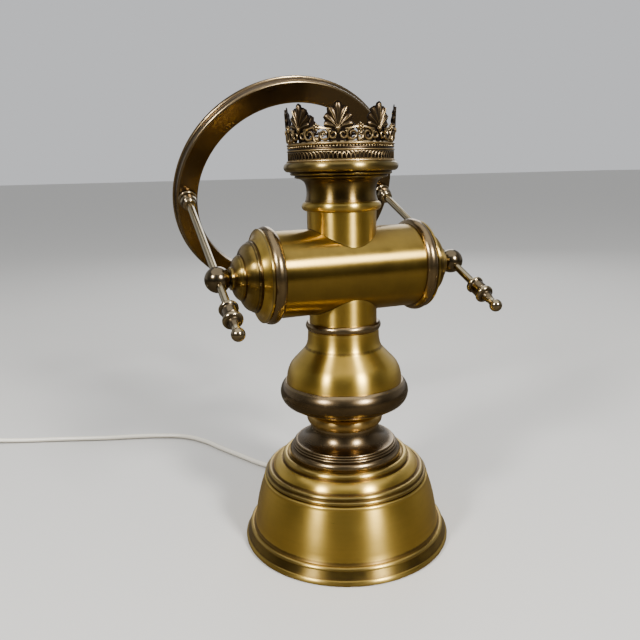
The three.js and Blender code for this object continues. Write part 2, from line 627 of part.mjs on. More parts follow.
// ---------------------------------------------------------------- cord, switch and plug
{
  const z = CORD_R;
  const at = (x, y, height = z) => new THREE.Vector3(x, y, height);
  const strand = (name, points, steps) => {
    const section = new THREE.Shape().absarc(0, 0, CORD_R - 0.05, 0, 2 * Math.PI);
    const extrudePath = new THREE.CatmullRomCurve3(points, false, "centripetal");
    const geometry = new THREE.ExtrudeGeometry(section, { extrudePath, steps, curveSegments: 4 });
    piece(name, closed(geometry), IVORY_PVC());
  };

  // In-line rocker switch: two shells, a rocker and its pin, in a group along the cord.
  const switchL = 56;
  const switchW = 22;
  const splitZ = 8.6;
  const switchH = 16.6;
  const switchAt = at(-320, 331, 0);
  const switchTurn = THREE.MathUtils.degToRad(159);
  const cordHigh = 5.4; // height of the cord where it enters the switch
  const switchBody = new THREE.Group();
  switchBody.position.copy(switchAt);
  switchBody.rotation.z = switchTurn;
  lamp.add(switchBody);
  const plan = roundedBox(switchL, switchW, 8);
  piece("switch_base", extruded(plan, 0, splitZ - SEAT, 3), IVORY_PVC(), switchBody);

  const pivotZ = 14;
  const pinR = 1.2;
  const pocket = extruded(roundedBox(20.4, 9, 0.8), splitZ + 2, switchH, 1);
  const pinWay = alongY(sleeve(pinR + SLIP, 0, -6.4, 6.4, 12)).translate(0, 0, pivotZ);
  const cover = extruded(plan, splitZ, switchH - splitZ, 3);
  piece("switch_cover", cut(cover, pocket, pinWay), IVORY_PVC(), switchBody);
  piece("rocker_pin", alongY(sleeve(pinR, 0, -6.2, 6.2, 12)), STEEL(), switchBody)
    .position.z = pivotZ;
  const rest = THREE.MathUtils.degToRad(6); // rocker pressed down at its off end
  const profile = new THREE.Shape()
    .moveTo(-8.6, -1.6)
    .lineTo(8.6, -1.6)
    .lineTo(9, 4.6)
    .quadraticCurveTo(0, 2.4, -9, 4.6);
  const rockerBar = extruded(profile, -4, 8, 4).rotateX(Math.PI / 2);
  const rocker = cut(rockerBar, alongY(sleeve(pinR + SLIP, 0, -6, 6, 12)));
  const rockerPiece = piece("switch_rocker", rocker, IVORY_PVC(), switchBody);
  rockerPiece.position.z = pivotZ;
  rockerPiece.rotation.y = rest;

  // A coil of the spare cord, its tie, and the plug beyond it.
  const coilAt = at(-403, 318, 0);
  const coilR = 40; // outer radius of the coil
  const coilW = 8 * CORD_R; // four turns side by side, and three lying on them
  const coilH = 4 * CORD_R;
  const coil = from(coilR - coilW, 0)
    .lineTo(coilR, 0)
    .lineTo(coilR, coilH)
    .lineTo(coilR - coilW, coilH)
    .closePath();
  piece("cord_coil", turned(coil, 32, 1), IVORY_PVC()).position.copy(coilAt);

  const plugAt = at(-394, 220, 0);
  const plugW = 26;
  const plugL = 32;
  const plugH = 13.7;
  const pinSpread = 18.6;
  const plug = new THREE.Group();
  plug.position.copy(plugAt);
  plug.rotation.z = THREE.MathUtils.degToRad(12);
  lamp.add(plug);
  const plugPlan = new THREE.Shape()
    .moveTo(-plugW / 2, -plugL / 2)
    .lineTo(plugW / 2, -plugL / 2)
    .lineTo(plugW / 2, 0)
    .quadraticCurveTo(plugW / 2, plugL / 2, 5, plugL / 2)
    .lineTo(-5, plugL / 2)
    .quadraticCurveTo(-plugW / 2, plugL / 2, -plugW / 2, 0);
  piece("plug_body", extruded(plugPlan, 0, plugH), IVORY_PVC(), plug);
  const reliefL = 22;
  const relief = from(0, 0).lineTo(4.4, 0).lineTo(3.2, reliefL).lineTo(0, reliefL);
  const boot = piece("plug_relief", alongY(turned(relief, 12, 1)), IVORY_PVC(), plug);
  boot.position.set(0, plugL / 2 + SEAT, plugH / 2);
  for (const [side, sign] of [["a", -1], ["b", 1]]) {
    const pin = alongY(sleeve(2, 0, -19, 0, 12));
    const place = piece(`plug_pin_${side}`, pin, SCREW_BRASS(), plug).position;
    place.set((sign * pinSpread) / 2, -plugL / 2 - SEAT, plugH / 2);
  }

  // Every strand ends square to what it meets, so each end has a second point straight out of it.
  const lead = 8;
  const ends = (group, x, y, height) =>
    new THREE.Vector3(x, y, height).applyEuler(group.rotation).add(group.position);
  const onSwitch = (sign, out) =>
    ends(switchBody, sign * (switchL / 2 + GAP + out), 0, cordHigh - out * 0.05);
  const onPlug = (out) => ends(plug, 0, plugL / 2 + SEAT + reliefL + GAP + out, plugH / 2);
  const onCoil = (degrees, out) => {
    const turn = THREE.MathUtils.degToRad(degrees);
    const reach = coilR + GAP + out;
    return coilAt.clone().add(at(reach * Math.cos(turn), reach * Math.sin(turn)));
  };
  const exitY = BASE_BELL_R + 3.3 + GAP;
  const route = [
    at(0, exitY, CORD_EXIT_Z), at(-0.4, exitY + 6.6, CORD_EXIT_Z - 0.3),
    at(-2, exitY + 14.6, CORD_EXIT_Z - 2.6), at(-6, 101, 10.4), at(-14, 117, 3.5),
    at(-25, 133), at(-41, 163.7), at(-54.5, 191.5), at(-68, 220),
    at(-84, 239.5), at(-106, 252), at(-134, 262.7), at(-160, 271), at(-209, 290),
    at(-248, 304.6), at(-270, 312.6, 3.4), onSwitch(-1, lead), onSwitch(-1, 0),
  ];
  strand("cord_run", route, 48);
  const link = [onSwitch(1, 0), onSwitch(1, lead), onCoil(56, lead), onCoil(56, 0)];
  strand("cord_link", link, 8);
  const tail = [onCoil(-84, 0), onCoil(-84, lead), onPlug(lead), onPlug(0)];
  strand("cord_tail", tail, 6);
}

export default lamp;
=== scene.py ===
"""Brass table lamp in the style of a ship's lantern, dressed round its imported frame.

Every visible turned, pressed and moulded piece is remade here as a fine surface, in metres, in the
frame's own axes. Outlines are drawn in millimetres as (radius, height) half-sections and spun.
"""

import json
import logging
import math
from dataclasses import dataclass, field
from enum import Enum
from typing import Callable, Iterable, Sequence

import bmesh
import bpy
from mathutils import Matrix, Vector


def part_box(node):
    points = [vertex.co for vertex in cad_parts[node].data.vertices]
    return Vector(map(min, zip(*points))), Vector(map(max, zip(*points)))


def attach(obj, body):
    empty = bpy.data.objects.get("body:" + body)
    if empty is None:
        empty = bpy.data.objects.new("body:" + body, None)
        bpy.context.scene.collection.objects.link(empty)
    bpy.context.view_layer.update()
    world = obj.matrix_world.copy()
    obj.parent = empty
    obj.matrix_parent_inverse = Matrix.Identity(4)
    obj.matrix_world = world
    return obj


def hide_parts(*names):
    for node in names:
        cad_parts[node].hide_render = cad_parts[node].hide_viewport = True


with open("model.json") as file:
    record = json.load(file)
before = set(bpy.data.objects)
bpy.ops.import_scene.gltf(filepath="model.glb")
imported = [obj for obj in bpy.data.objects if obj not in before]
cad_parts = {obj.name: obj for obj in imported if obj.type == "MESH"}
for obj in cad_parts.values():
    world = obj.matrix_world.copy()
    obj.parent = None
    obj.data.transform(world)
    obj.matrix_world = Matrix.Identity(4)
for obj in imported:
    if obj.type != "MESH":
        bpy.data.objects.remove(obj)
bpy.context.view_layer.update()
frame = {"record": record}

logging.basicConfig(level=logging.INFO, format="%(message)s")
LOG = logging.getLogger("lamp")

MM = 0.001  # metres in a millimetre
PER_METRE = 1000  # millimetres in a metre
FULL_TURN = 2 * math.pi
SHARP = math.radians(38)  # an edge that turns further than this stays crisp
WELD = 1e-7  # points nearer than this are one point, in metres
SLIP = 0.15  # clearance between a sleeve and what is in it, in millimetres
STAND, CARRIER, ROCKER = "stand", "shade_carrier", "rocker"

Colour = tuple[float, float, float]
Point = tuple[float, float]


# ------------------------------------------------------------------------------- places
def joint(name: str) -> dict:
    """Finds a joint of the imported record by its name."""
    return next(j for j in frame["record"]["behaviour"]["joints"] if j["name"] == name)


def mount(name: str) -> dict:
    """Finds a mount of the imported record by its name."""
    return next(m for m in frame["record"]["mounts"] if m["name"] == name)


def low(node: str) -> Vector:
    """Lowest corner of a node at rest."""
    return Vector(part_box(node)[0])


def high(node: str) -> Vector:
    """Highest corner of a node at rest."""
    return Vector(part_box(node)[1])


def middle(node: str) -> Vector:
    """Middle of a node's box at rest."""
    return (low(node) + high(node)) / 2


AXIS_Z = joint("ring_tilt")["pos_m"][2]
TILT = math.atan2(mount("shade_seat")["axis"][1], mount("shade_seat")["axis"][2])
CARRIER_FRAME = Matrix.Translation((0, 0, AXIS_Z)) @ Matrix.Rotation(-TILT, 4, "X")


def standing(z: float = 0.0) -> Matrix:
    """Frame of a piece turned about the stem's axis, from a height."""
    return Matrix.Translation((0, 0, z))


def lying(side: int, x: float) -> Matrix:
    """Frame of a piece turned about the cross tube's axis, pointing out of one end.

    Args:
        side: +1 for the right end, -1 for the left.
        x: distance of the piece's foot from the stem's axis.

    Returns:
        A matrix whose Z axis points along side * X.
    """
    return Matrix.Translation((side * x, 0, AXIS_Z)) @ Matrix.Rotation(side * math.pi / 2, 4, "Y")


def shifted(x: float, y: float, z: float) -> Matrix:
    """A move, given in millimetres."""
    return Matrix.Translation((x * MM, y * MM, z * MM))


def in_millimetres(place: Matrix) -> Matrix:
    """The same frame, for points given and wanted in millimetres."""
    grown = Matrix.Diagonal((PER_METRE, PER_METRE, PER_METRE, 1))
    return grown @ place @ Matrix.Scale(MM, 4)


UPRIGHT = Matrix.Rotation(math.pi / 2, 4, "X")  # stands a flat plan up, facing -Y
BACKWARD = Matrix.Rotation(-math.pi / 2, 4, "X")  # lays a turned piece down, pointing to +Y


# ------------------------------------------------------------------------------- outlines
class Outline:
    """A half-section of a turned piece, drawn in millimetres as (radius, height)."""

    def __init__(self, r: float, z: float) -> None:
        """Starts the outline at a point, on bare metal."""
        self.points: list[Point] = [(r, z)]
        self.tones: list[float] = [0.0]
        self.tone = 0.0

    def shade(self, tone: float) -> "Outline":
        """Sets how dark the patina is from here on, from 0 for bare metal to 1."""
        self.tone = tone
        return self

    def line(self, r: float, z: float) -> "Outline":
        """Draws a straight edge."""
        self.points.append((r, z))
        self.tones.append(self.tone)
        return self

    def curve(self, cr: float, cz: float, r: float, z: float, steps: int = 10) -> "Outline":
        """Draws a smooth edge that bends towards a control point.

        Args:
            cr: control point's radius.
            cz: control point's height.
            r: end point's radius.
            z: end point's height.
            steps: number of short edges.

        Returns:
            The same outline.
        """
        r0, z0 = self.points[-1]
        for i in range(1, steps + 1):
            t = i / steps
            a, b, c = (1 - t) ** 2, 2 * t * (1 - t), t * t
            self.line(a * r0 + b * cr + c * r, a * z0 + b * cz + c * z)
        return self

    def bead(self, r: float, z: float, bulge: float, steps: int = 10) -> "Outline":
        """Draws an arc to a point, standing out to the right of the way by bulge.

        Args:
            r: end point's radius.
            z: end point's height.
            bulge: height of the arc over its chord, negative for a hollow.
            steps: number of short edges.

        Returns:
            The same outline.
        """
        r0, z0 = self.points[-1]
        half = math.hypot(r - r0, z - z0) / 2
        radius = (half * half + bulge * bulge) / (2 * abs(bulge))
        ux, uz = (r - r0) / (2 * half), (z - z0) / (2 * half)
        nx, nz = uz, -ux
        sign = math.copysign(1.0, bulge)
        centre_off = abs(bulge) - radius
        cr, cz = (r + r0) / 2 + sign * nx * centre_off, (z + z0) / 2 + sign * nz * centre_off
        reach = math.atan2(half, -centre_off)
        for i in range(1, steps + 1):
            angle = -reach + 2 * reach * i / steps
            along, out = radius * math.sin(angle), radius * math.cos(angle)
            self.line(cr + ux * along + sign * nx * out, cz + uz * along + sign * nz * out)
        return self

    def close(self) -> "Outline":
        """Closes the section on its first point."""
        return self.line(*self.points[0])

    def fine(self, spacing: float) -> tuple[list[Point], list[float]]:
        """Splits long edges, so that attributes and shading have points to sit on.

        Args:
            spacing: longest edge kept, in millimetres.

        Returns:
            The points, and the tone at each.
        """
        points, tones = [self.points[0]], [self.tones[0]]
        edges = zip(self.points, self.points[1:], self.tones[1:])
        for (r0, z0), (r1, z1), tone in edges:
            count = max(1, math.ceil(math.hypot(r1 - r0, z1 - z0) / spacing))
            for i in range(1, count + 1):
                points.append((r0 + (r1 - r0) * i / count, z0 + (z1 - z0) * i / count))
                tones.append(tone)
        return points, tones


def crests(points: Sequence[Point], closed: bool, reach: float = 1.3) -> list[float]:
    """Measures how far each point of an outline is a crest (+1) or the foot of a groove (-1).

    Args:
        points: the outline, without a repeated last point.
        closed: whether the last point joins the first.
        reach: distance in millimetres over which a crest's wear fades.

    Returns:
        One value from -1 to 1 for each point.
    """
    n = len(points)
    bend = []
    for i, (r, z) in enumerate(points):
        if not closed and i in (0, n - 1):
            bend.append(0.0)
            continue
        pr, pz = points[i - 1]
        nr, nz = points[(i + 1) % n]
        a, b = (r - pr, z - pz), (nr - r, nz - z)
        bend.append(math.atan2(a[0] * b[1] - a[1] * b[0], a[0] * b[0] + a[1] * b[1]))
    found = []
    for r, z in points:
        near = sum(
            turn * max(0.0, 1 - math.hypot(r - q, z - w) / (2 * reach))
            for turn, (q, w) in zip(bend, points)
            if abs(turn) > 1e-4 and abs(q - r) < 2 * reach and abs(w - z) < 2 * reach
        )
        found.append(max(-1.0, min(1.0, near * 1.1)))
    return found


# ------------------------------------------------------------------------------- meshes
def blank_mesh() -> bmesh.types.BMesh:
    """Starts a mesh whose points carry a crest value and a patina value."""
    bm = bmesh.new()
    for title in ("crest", "dark"):
        bm.verts.layers.float.new(title)
    return bm


def tint_mesh(bm: bmesh.types.BMesh, crest: float, dark: float) -> bmesh.types.BMesh:
    """Gives every point of a mesh the same crest and patina values."""
    crest_layer, dark_layer = bm.verts.layers.float["crest"], bm.verts.layers.float["dark"]
    for vert in bm.verts:
        vert[crest_layer], vert[dark_layer] = crest, dark
    return bm


def spin_mesh(outline: Outline, steps: int, spacing: float = 1.4) -> bmesh.types.BMesh:
    """Spins a half-section about Z into a closed skin with a crest value at every point.

    Args:
        outline: the half-section, in millimetres.
        steps: facets round the axis.
        spacing: longest edge kept along the outline, in millimetres.

    Returns:
        A mesh in metres, standing on Z.
    """
    points, tones = outline.fine(spacing)
    closed = math.dist(points[0], points[-1]) < 1e-6
    if closed:
        points, tones = points[:-1], tones[:-1]
    bm = blank_mesh()
    crest, dark = bm.verts.layers.float["crest"], bm.verts.layers.float["dark"]
    verts = []
    for (r, z), value, tone in zip(points, crests(points, closed), tones):
        vert = bm.verts.new((r * MM, 0, z * MM))
        vert[crest], vert[dark] = value, tone
        verts.append(vert)
    edges = [bm.edges.new(pair) for pair in zip(verts, verts[1:])]
    if closed:
        edges.append(bm.edges.new((verts[-1], verts[0])))
    bmesh.ops.spin(
        bm,
        geom=verts + edges,
        cent=(0, 0, 0),
        axis=(0, 0, 1),
        angle=FULL_TURN,
        steps=steps,
        use_merge=True,
        use_duplicate=False,
    )
    bmesh.ops.remove_doubles(bm, verts=bm.verts[:], dist=WELD)
    bmesh.ops.recalc_face_normals(bm, faces=bm.faces[:])
    return bm


def sweep_mesh(path: Sequence[Vector], radii: Sequence[float], sides: int) -> bmesh.types.BMesh:
    """Sweeps a round section along a path, with flat closed ends.

    Args:
        path: points of the centreline, in metres.
        radii: radius of the section at each point, in metres.
        sides: facets round the section.

    Returns:
        A closed tube.
    """
    bm = blank_mesh()
    rings = []
    side = (path[1] - path[0]).orthogonal().normalized()
    for i, (centre, radius) in enumerate(zip(path, radii)):
        ahead = path[min(i + 1, len(path) - 1)] - path[max(i - 1, 0)]
        ahead.normalize()
        side = (side - ahead * side.dot(ahead)).normalized()
        turned = Matrix((side, ahead.cross(side), ahead)).transposed().to_4x4()
        place = Matrix.Translation(centre) @ turned
        made = bmesh.ops.create_circle(
            bm, cap_ends=False, radius=radius, segments=sides, matrix=place
        )
        rings.append(made["verts"])
    loops = [list({e for v in ring for e in v.link_edges}) for ring in rings]
    for first, second in zip(loops, loops[1:]):
        bmesh.ops.bridge_loops(bm, edges=first + second)
    for loop in (loops[0], loops[-1]):
        bmesh.ops.contextual_create(bm, geom=loop)
    bmesh.ops.recalc_face_normals(bm, faces=bm.faces[:])
    return bm


def move_mesh(bm: bmesh.types.BMesh, place: Matrix) -> bmesh.types.BMesh:
    """Moves a whole mesh by a matrix."""
    bmesh.ops.transform(bm, matrix=place, verts=bm.verts[:])
    return bm


def join_mesh(target: bmesh.types.BMesh, source: bmesh.types.BMesh) -> None:
    """Adds a mesh to another and frees it."""
    mesh = bpy.data.meshes.new("joined")
    source.to_mesh(mesh)
    source.free()
    target.from_mesh(mesh)
    bpy.data.meshes.remove(mesh)


def prism_mesh(
    outline: Sequence[Point], height: float, edge: float = 0.0, segments: int = 3
) -> bmesh.types.BMesh:
    """Raises a flat outline into a block with rounded rims.

    Args:
        outline: corners of the plan in millimetres, in order.
        height: height in millimetres.
        edge: radius of the rounded top and bottom rims, in millimetres.
        segments: facets across each rounded rim.

    Returns:
        A closed block standing on z = 0, in metres.
    """
    bm = blank_mesh()
    face = bm.faces.new([bm.verts.new((x * MM, y * MM, 0)) for x, y in outline])
    raised = bmesh.ops.extrude_face_region(bm, geom=[face])["geom"]
    top = [g for g in raised if isinstance(g, bmesh.types.BMVert)]
    bmesh.ops.translate(bm, vec=(0, 0, height * MM), verts=top)
    bmesh.ops.recalc_face_normals(bm, faces=bm.faces[:])
    if edge:
        rims = [e for e in bm.edges if abs(e.verts[0].co.z - e.verts[1].co.z) < 1e-9]
        bmesh.ops.bevel(
            bm,
            geom=rims,
            offset=edge * MM,
            offset_type="OFFSET",
            segments=segments,
            profile=0.5,
            affect="EDGES",
            clamp_overlap=True,
            material=-1,
        )
    return bm


def rounded_plan(width: float, depth: float, radius: float, steps: int = 8) -> list[Point]:
    """Corners of a rectangle with round corners, centred on the origin."""
    x, y = width / 2 - radius, depth / 2 - radius
    plan = []
    for quarter, (cx, cy) in enumerate(((x, y), (-x, y), (-x, -y), (x, -y))):
        for i in range(steps + 1):
            turn = (quarter + i / steps) * math.pi / 2
            plan.append((cx + radius * math.cos(turn), cy + radius * math.sin(turn)))
    return plan


# ------------------------------------------------------------------------------- node tools
class Nodes:
    """Short ways to add and link nodes in a material or a node group."""

    def __init__(self, tree: bpy.types.NodeTree) -> None:
        """Keeps the tree that nodes are added to."""
        self.tree = tree

    def add(self, kind: str, **settings: object) -> bpy.types.Node:
        """Adds a node and sets its properties."""
        node = self.tree.nodes.new(kind)
        for name, value in settings.items():
            setattr(node, name, value)
        return node

    def feed(self, socket: bpy.types.NodeSocket, value: object) -> None:
        """Links a socket to another, or sets its constant."""
        if isinstance(value, bpy.types.NodeSocket):
            self.tree.links.new(value, socket)
        else:
            socket.default_value = value

    def math(self, operation: str, *values: object) -> bpy.types.NodeSocket:
        """Adds a Math node and returns its result."""
        node = self.add("ShaderNodeMath", operation=operation)
        for socket, value in zip(node.inputs, values):
            self.feed(socket, value)
        return node.outputs[0]

    def ramp(self, value: object, start: float, end: float) -> bpy.types.NodeSocket:
        """Raises a value smoothly from 0 at the start of a range to 1 at its end."""
        node = self.add("ShaderNodeMapRange", interpolation_type="SMOOTHSTEP")
        for i, item in enumerate((value, start, end)):
            self.feed(node.inputs[i], item)
        return node.outputs[0]

    def mix(self, factor: object, first: object, second: object) -> bpy.types.NodeSocket:
        """Mixes two colours, each a socket or three numbers."""
        node = self.add("ShaderNodeMix", data_type="RGBA")
        self.feed(node.inputs[0], factor)
        for socket, value in ((node.inputs[6], first), (node.inputs[7], second)):
            self.feed(socket, (*value, 1.0) if isinstance(value, tuple) else value)
        return node.outputs[2]

    def noise(self, vector: object, scale: float, detail: float = 3.0, rough: float = 0.5,
              w: object = None) -> bpy.types.NodeSocket:
        """Adds a noise texture, in four dimensions where w is given."""
        node = self.add("ShaderNodeTexNoise", noise_dimensions="3D" if w is None else "4D")
        self.feed(node.inputs["Vector"], vector)
        if w is not None:
            self.feed(node.inputs["W"], w)
        node.inputs["Scale"].default_value = scale
        node.inputs["Detail"].default_value = detail
        node.inputs["Roughness"].default_value = rough
        return node.outputs[0]


def new_group(name: str, inputs: dict[str, tuple[str, object]], outputs: Iterable[str]
              ) -> tuple[bpy.types.NodeTree, Nodes, bpy.types.Node, bpy.types.Node]:
    """Starts a shader node group with named inputs and outputs.

    Args:
        name: the group's name.
        inputs: name to (socket type, default), where None leaves the default.
        outputs: names of float outputs.

    Returns:
        The group, its node helper, its input node and its output node.
    """
    group = bpy.data.node_groups.new(name, "ShaderNodeTree")
    for title, (kind, default) in inputs.items():
        socket = group.interface.new_socket(name=title, in_out="INPUT", socket_type=kind)
        if default is not None:
            socket.default_value = default
    for title in outputs:
        group.interface.new_socket(name=title, in_out="OUTPUT", socket_type="NodeSocketFloat")
    tools = Nodes(group)
    return group, tools, tools.add("NodeGroupInput"), tools.add("NodeGroupOutput")


def grain_group() -> bpy.types.NodeTree:
    """Builds the fine lathe marks that run round a turned piece's own Z axis."""
    inputs = {
        "Vector": ("NodeSocketVector", None),
        "Lines": ("NodeSocketFloat", 1800.0),
    }
    group, n, entry, leave = new_group("turned_grain", inputs, ("Fine", "Broad"))
    split = n.add("ShaderNodeSeparateXYZ")
    n.feed(split.inputs[0], entry.outputs["Vector"])
    x, y, z = split.outputs
    radius = n.math("SQRT", n.math("ADD", n.math("MULTIPLY", x, x), n.math("MULTIPLY", y, y)))
    safe = n.math("MAXIMUM", radius, 1e-5)
    across, round_way = n.math("DIVIDE", x, safe), n.math("DIVIDE", y, safe)
    for title, share in (("Fine", 1.0), ("Broad", 0.16)):
        lines = n.math("MULTIPLY", entry.outputs["Lines"], share)
        joined = n.add("ShaderNodeCombineXYZ")
        n.feed(joined.inputs[0], n.math("MULTIPLY", radius, lines))
        n.feed(joined.inputs[1], n.math("MULTIPLY", z, lines))
        n.feed(joined.inputs[2], across)
        n.feed(leave.inputs[title], n.noise(joined.outputs[0], 1.0, 2.0, 0.6, w=round_way))
    return group


def wear_group() -> bpy.types.NodeTree:
    """Builds the masks for bright crests, from wear and on the crown's relief from painted
    highlight, and for dark grooves, from tarnish and painted shade.
    """
    inputs = {
        "Vector": ("NodeSocketVector", None),
        "Crest": ("NodeSocketFloat", 0.0),
        "Patch": ("NodeSocketFloat", 45.0),
    }
    group, n, entry, leave = new_group("tarnish_shade_and_wear", inputs, ("WearAndHighlight", "TarnishAndShade", "Cloud"))
    scaled = n.add("ShaderNodeVectorMath", operation="SCALE")
    n.feed(scaled.inputs[0], entry.outputs["Vector"])
    n.feed(scaled.inputs["Scale"], entry.outputs["Patch"])
    cloud = n.noise(scaled.outputs[0], 1.0, 4.0, 0.6)
    speck = n.noise(scaled.outputs[0], 9.0, 3.0, 0.6)
    ragged = n.math("MULTIPLY", n.math("SUBTRACT", speck, 0.5), 0.5)
    loose = n.math("ADD", entry.outputs["Crest"], ragged)
    # Bright crests: wear, and on the crown's relief also painted highlight.
    n.feed(leave.inputs["WearAndHighlight"], n.ramp(loose, 0.2, 0.75))
    # Dark grooves and hollows: tarnish, and painted shade.
    hollow = n.math("MULTIPLY", loose, -1.0)
    n.feed(leave.inputs["TarnishAndShade"], n.ramp(hollow, 0.2, 0.7))
    n.feed(leave.inputs["Cloud"], n.ramp(cloud, 0.35, 0.7))
    return group


GROUPS: dict[str, Callable[[], bpy.types.NodeTree]] = {
    "turned_grain": grain_group,
    "tarnish_shade_and_wear": wear_group,
}


def use_group(n: Nodes, name: str, **values: object) -> bpy.types.Node:
    """Places a shared node group in a material, building it on its first use."""
    tree = bpy.data.node_groups.get(name) or GROUPS[name]()
    node = n.add("ShaderNodeGroup", node_tree=tree)
    for title, value in values.items():
        n.feed(node.inputs[title], value)
    return node


# ------------------------------------------------------------------------------- finishes
class Way(Enum):
    """The direction that a piece's polishing marks turn about."""

    STEM = "stem"
    CROSS = "cross"
    CARRIER = "carrier"

    def place(self) -> tuple[Vector, tuple[float, float, float], str]:
        """Origin, turn and tangent letter of the pattern's own Z axis."""
        if self is Way.CROSS:
            return Vector((0, 0, AXIS_Z)), (0.0, math.pi / 2, 0.0), "X"
        if self is Way.CARRIER:
            return Vector((0, 0, AXIS_Z)), (-TILT, 0.0, 0.0), "X"
        return Vector((0, 0, 0)), (0.0, 0.0, 0.0), "Z"


@dataclass(frozen=True)
class Metal:
    """A polished, patinated metal finish."""

    name: str
    bright: Colour  # crests, bright from wear and, on the crown's relief, from painted highlight
    base: Colour
    # Groove colour: tarnish, and painted shade.
    tarnish_and_shade: Colour  # in grooves
    patina: Colour  # where an outline is shaded dark
    roughness: float
    film_roughness: float
    grain: float  # depth of the lathe marks, in millimetres
    anisotropy: float
    cloud: float = 0.35  # share of colour taken by slow patches
    cloud_shade: float = 0.72  # how light the slow patches are
    streak: float = 0.22  # share of colour taken by broad lathe marks
    streak_shade: float = 0.8
    wear_and_highlight: float = 0.6  # share of bright metal on a crest
    tarnish_and_shade_share: float = 0.85  # share of groove colour in a groove: tarnish and painted shade
    lines: float = 2200.0  # lathe marks, as noise cells per metre

    def material(self, way: Way) -> bpy.types.Material:
        """Builds the finish with its marks turning about one axis, or finds it already built."""
        title = f"{self.name}_{way.value}"
        found = bpy.data.materials.get(title)
        if found:
            return found
        made = bpy.data.materials.new(title)
        made.use_nodes = True
        made.node_tree.nodes.clear()
        n = Nodes(made.node_tree)
        coordinates = n.add("ShaderNodeTexCoord").outputs["Object"]
        origin, turn, letter = way.place()
        mapping = n.add("ShaderNodeMapping", vector_type="TEXTURE")
        n.feed(mapping.inputs["Vector"], coordinates)
        mapping.inputs["Location"].default_value = origin
        mapping.inputs["Rotation"].default_value = turn
        own = mapping.outputs[0]
        crest = n.add("ShaderNodeAttribute", attribute_name="crest").outputs["Fac"]
        wear = use_group(n, "tarnish_shade_and_wear", Vector=coordinates, Crest=crest)
        grain = use_group(n, "turned_grain", Vector=own, Lines=self.lines)
        fine, broad = grain.outputs
        cloud = n.math("MULTIPLY", wear.outputs["Cloud"], self.cloud)
        colour = n.mix(cloud, self.base, tuple(c * self.cloud_shade for c in self.base))
        streak = n.math("MULTIPLY", n.ramp(broad, 0.35, 0.7), self.streak)
        colour = n.mix(streak, colour, tuple(c * self.streak_shade for c in self.base))
        tone = n.add("ShaderNodeAttribute", attribute_name="dark").outputs["Fac"]
        thin = n.math("SUBTRACT", 1.0, n.math("MULTIPLY", wear.outputs["Cloud"], 0.25))
        colour = n.mix(n.math("MULTIPLY", tone, thin), colour, self.patina)
        # Grooves are darkened with tarnish and painted shade.
        tarnish_and_shade = n.math("MULTIPLY", wear.outputs["TarnishAndShade"], self.tarnish_and_shade_share)
        colour = n.mix(tarnish_and_shade, colour, self.tarnish_and_shade)
        # Crests are brightened with wear, and on the crown's relief with painted highlight.
        wear_and_highlight = n.math("MULTIPLY", wear.outputs["WearAndHighlight"], self.wear_and_highlight)
        colour = n.mix(wear_and_highlight, colour, self.bright)
        rough = n.math("ADD", self.roughness - 0.05, n.math("MULTIPLY", fine, 0.08))
        rough = n.math("ADD", rough, n.math("MULTIPLY", cloud, 0.14))
        gap = self.film_roughness - self.roughness
        rough = n.math("ADD", rough, n.math("MULTIPLY", tarnish_and_shade, gap))
        bump = n.add("ShaderNodeBump")
        bump.inputs["Strength"].default_value = 1.0
        bump.inputs["Distance"].default_value = self.grain * MM
        n.feed(bump.inputs["Height"], n.math("ADD", fine, n.math("MULTIPLY", broad, 0.6)))
        shader = n.add("ShaderNodeBsdfPrincipled")
        n.feed(shader.inputs["Base Color"], colour)
        n.feed(shader.inputs["Roughness"], rough)
        n.feed(shader.inputs["Normal"], bump.outputs[0])
        shader.inputs["Metallic"].default_value = 1.0
        if self.anisotropy:
            shader.inputs["Anisotropic"].default_value = self.anisotropy
            shader.inputs["Anisotropic Rotation"].default_value = 0.25
            tangent = n.add("ShaderNodeTangent", direction_type="RADIAL", axis=letter)
            n.feed(shader.inputs["Tangent"], tangent.outputs[0])
        n.feed(n.add("ShaderNodeOutputMaterial").inputs["Surface"], shader.outputs[0])
        return made


@dataclass(frozen=True)
class Moulded:
    """A moulded or matt finish: plastic, ceramic, felt or cast iron."""

    name: str
    base: Colour
    shade: Colour
    roughness: float
    grain_scale: float  # patches per metre
    grain: float  # depth of the surface's own texture, in millimetres
    metallic: float = 0.0
    sheen: float = 0.0

    def material(self, _way: Way = Way.STEM) -> bpy.types.Material:
        """Builds the finish, which has no turned marks, or finds it already built."""
        found = bpy.data.materials.get(self.name)
        if found:
            return found
        made = bpy.data.materials.new(self.name)
        made.use_nodes = True
        made.node_tree.nodes.clear()
        n = Nodes(made.node_tree)
        coordinates = n.add("ShaderNodeTexCoord").outputs["Object"]
        wear = use_group(n, "tarnish_shade_and_wear", Vector=coordinates, Patch=self.grain_scale * 0.1)
        fine = n.noise(coordinates, self.grain_scale, 4.0, 0.6)
        colour = n.mix(n.math("MULTIPLY", wear.outputs["Cloud"], 0.5), self.base, self.shade)
        colour = n.mix(n.math("MULTIPLY", n.ramp(fine, 0.4, 0.75), 0.5), colour, self.shade)
        rough = n.math("ADD", self.roughness - 0.06, n.math("MULTIPLY", fine, 0.12))
        bump = n.add("ShaderNodeBump")
        bump.inputs["Strength"].default_value = 1.0
        bump.inputs["Distance"].default_value = self.grain * MM
        n.feed(bump.inputs["Height"], fine)
        shader = n.add("ShaderNodeBsdfPrincipled")
        n.feed(shader.inputs["Base Color"], colour)
        n.feed(shader.inputs["Roughness"], rough)
        n.feed(shader.inputs["Normal"], bump.outputs[0])
        shader.inputs["Metallic"].default_value = self.metallic
        shader.inputs["Sheen Weight"].default_value = self.sheen
        n.feed(n.add("ShaderNodeOutputMaterial").inputs["Surface"], shader.outputs[0])
        return made


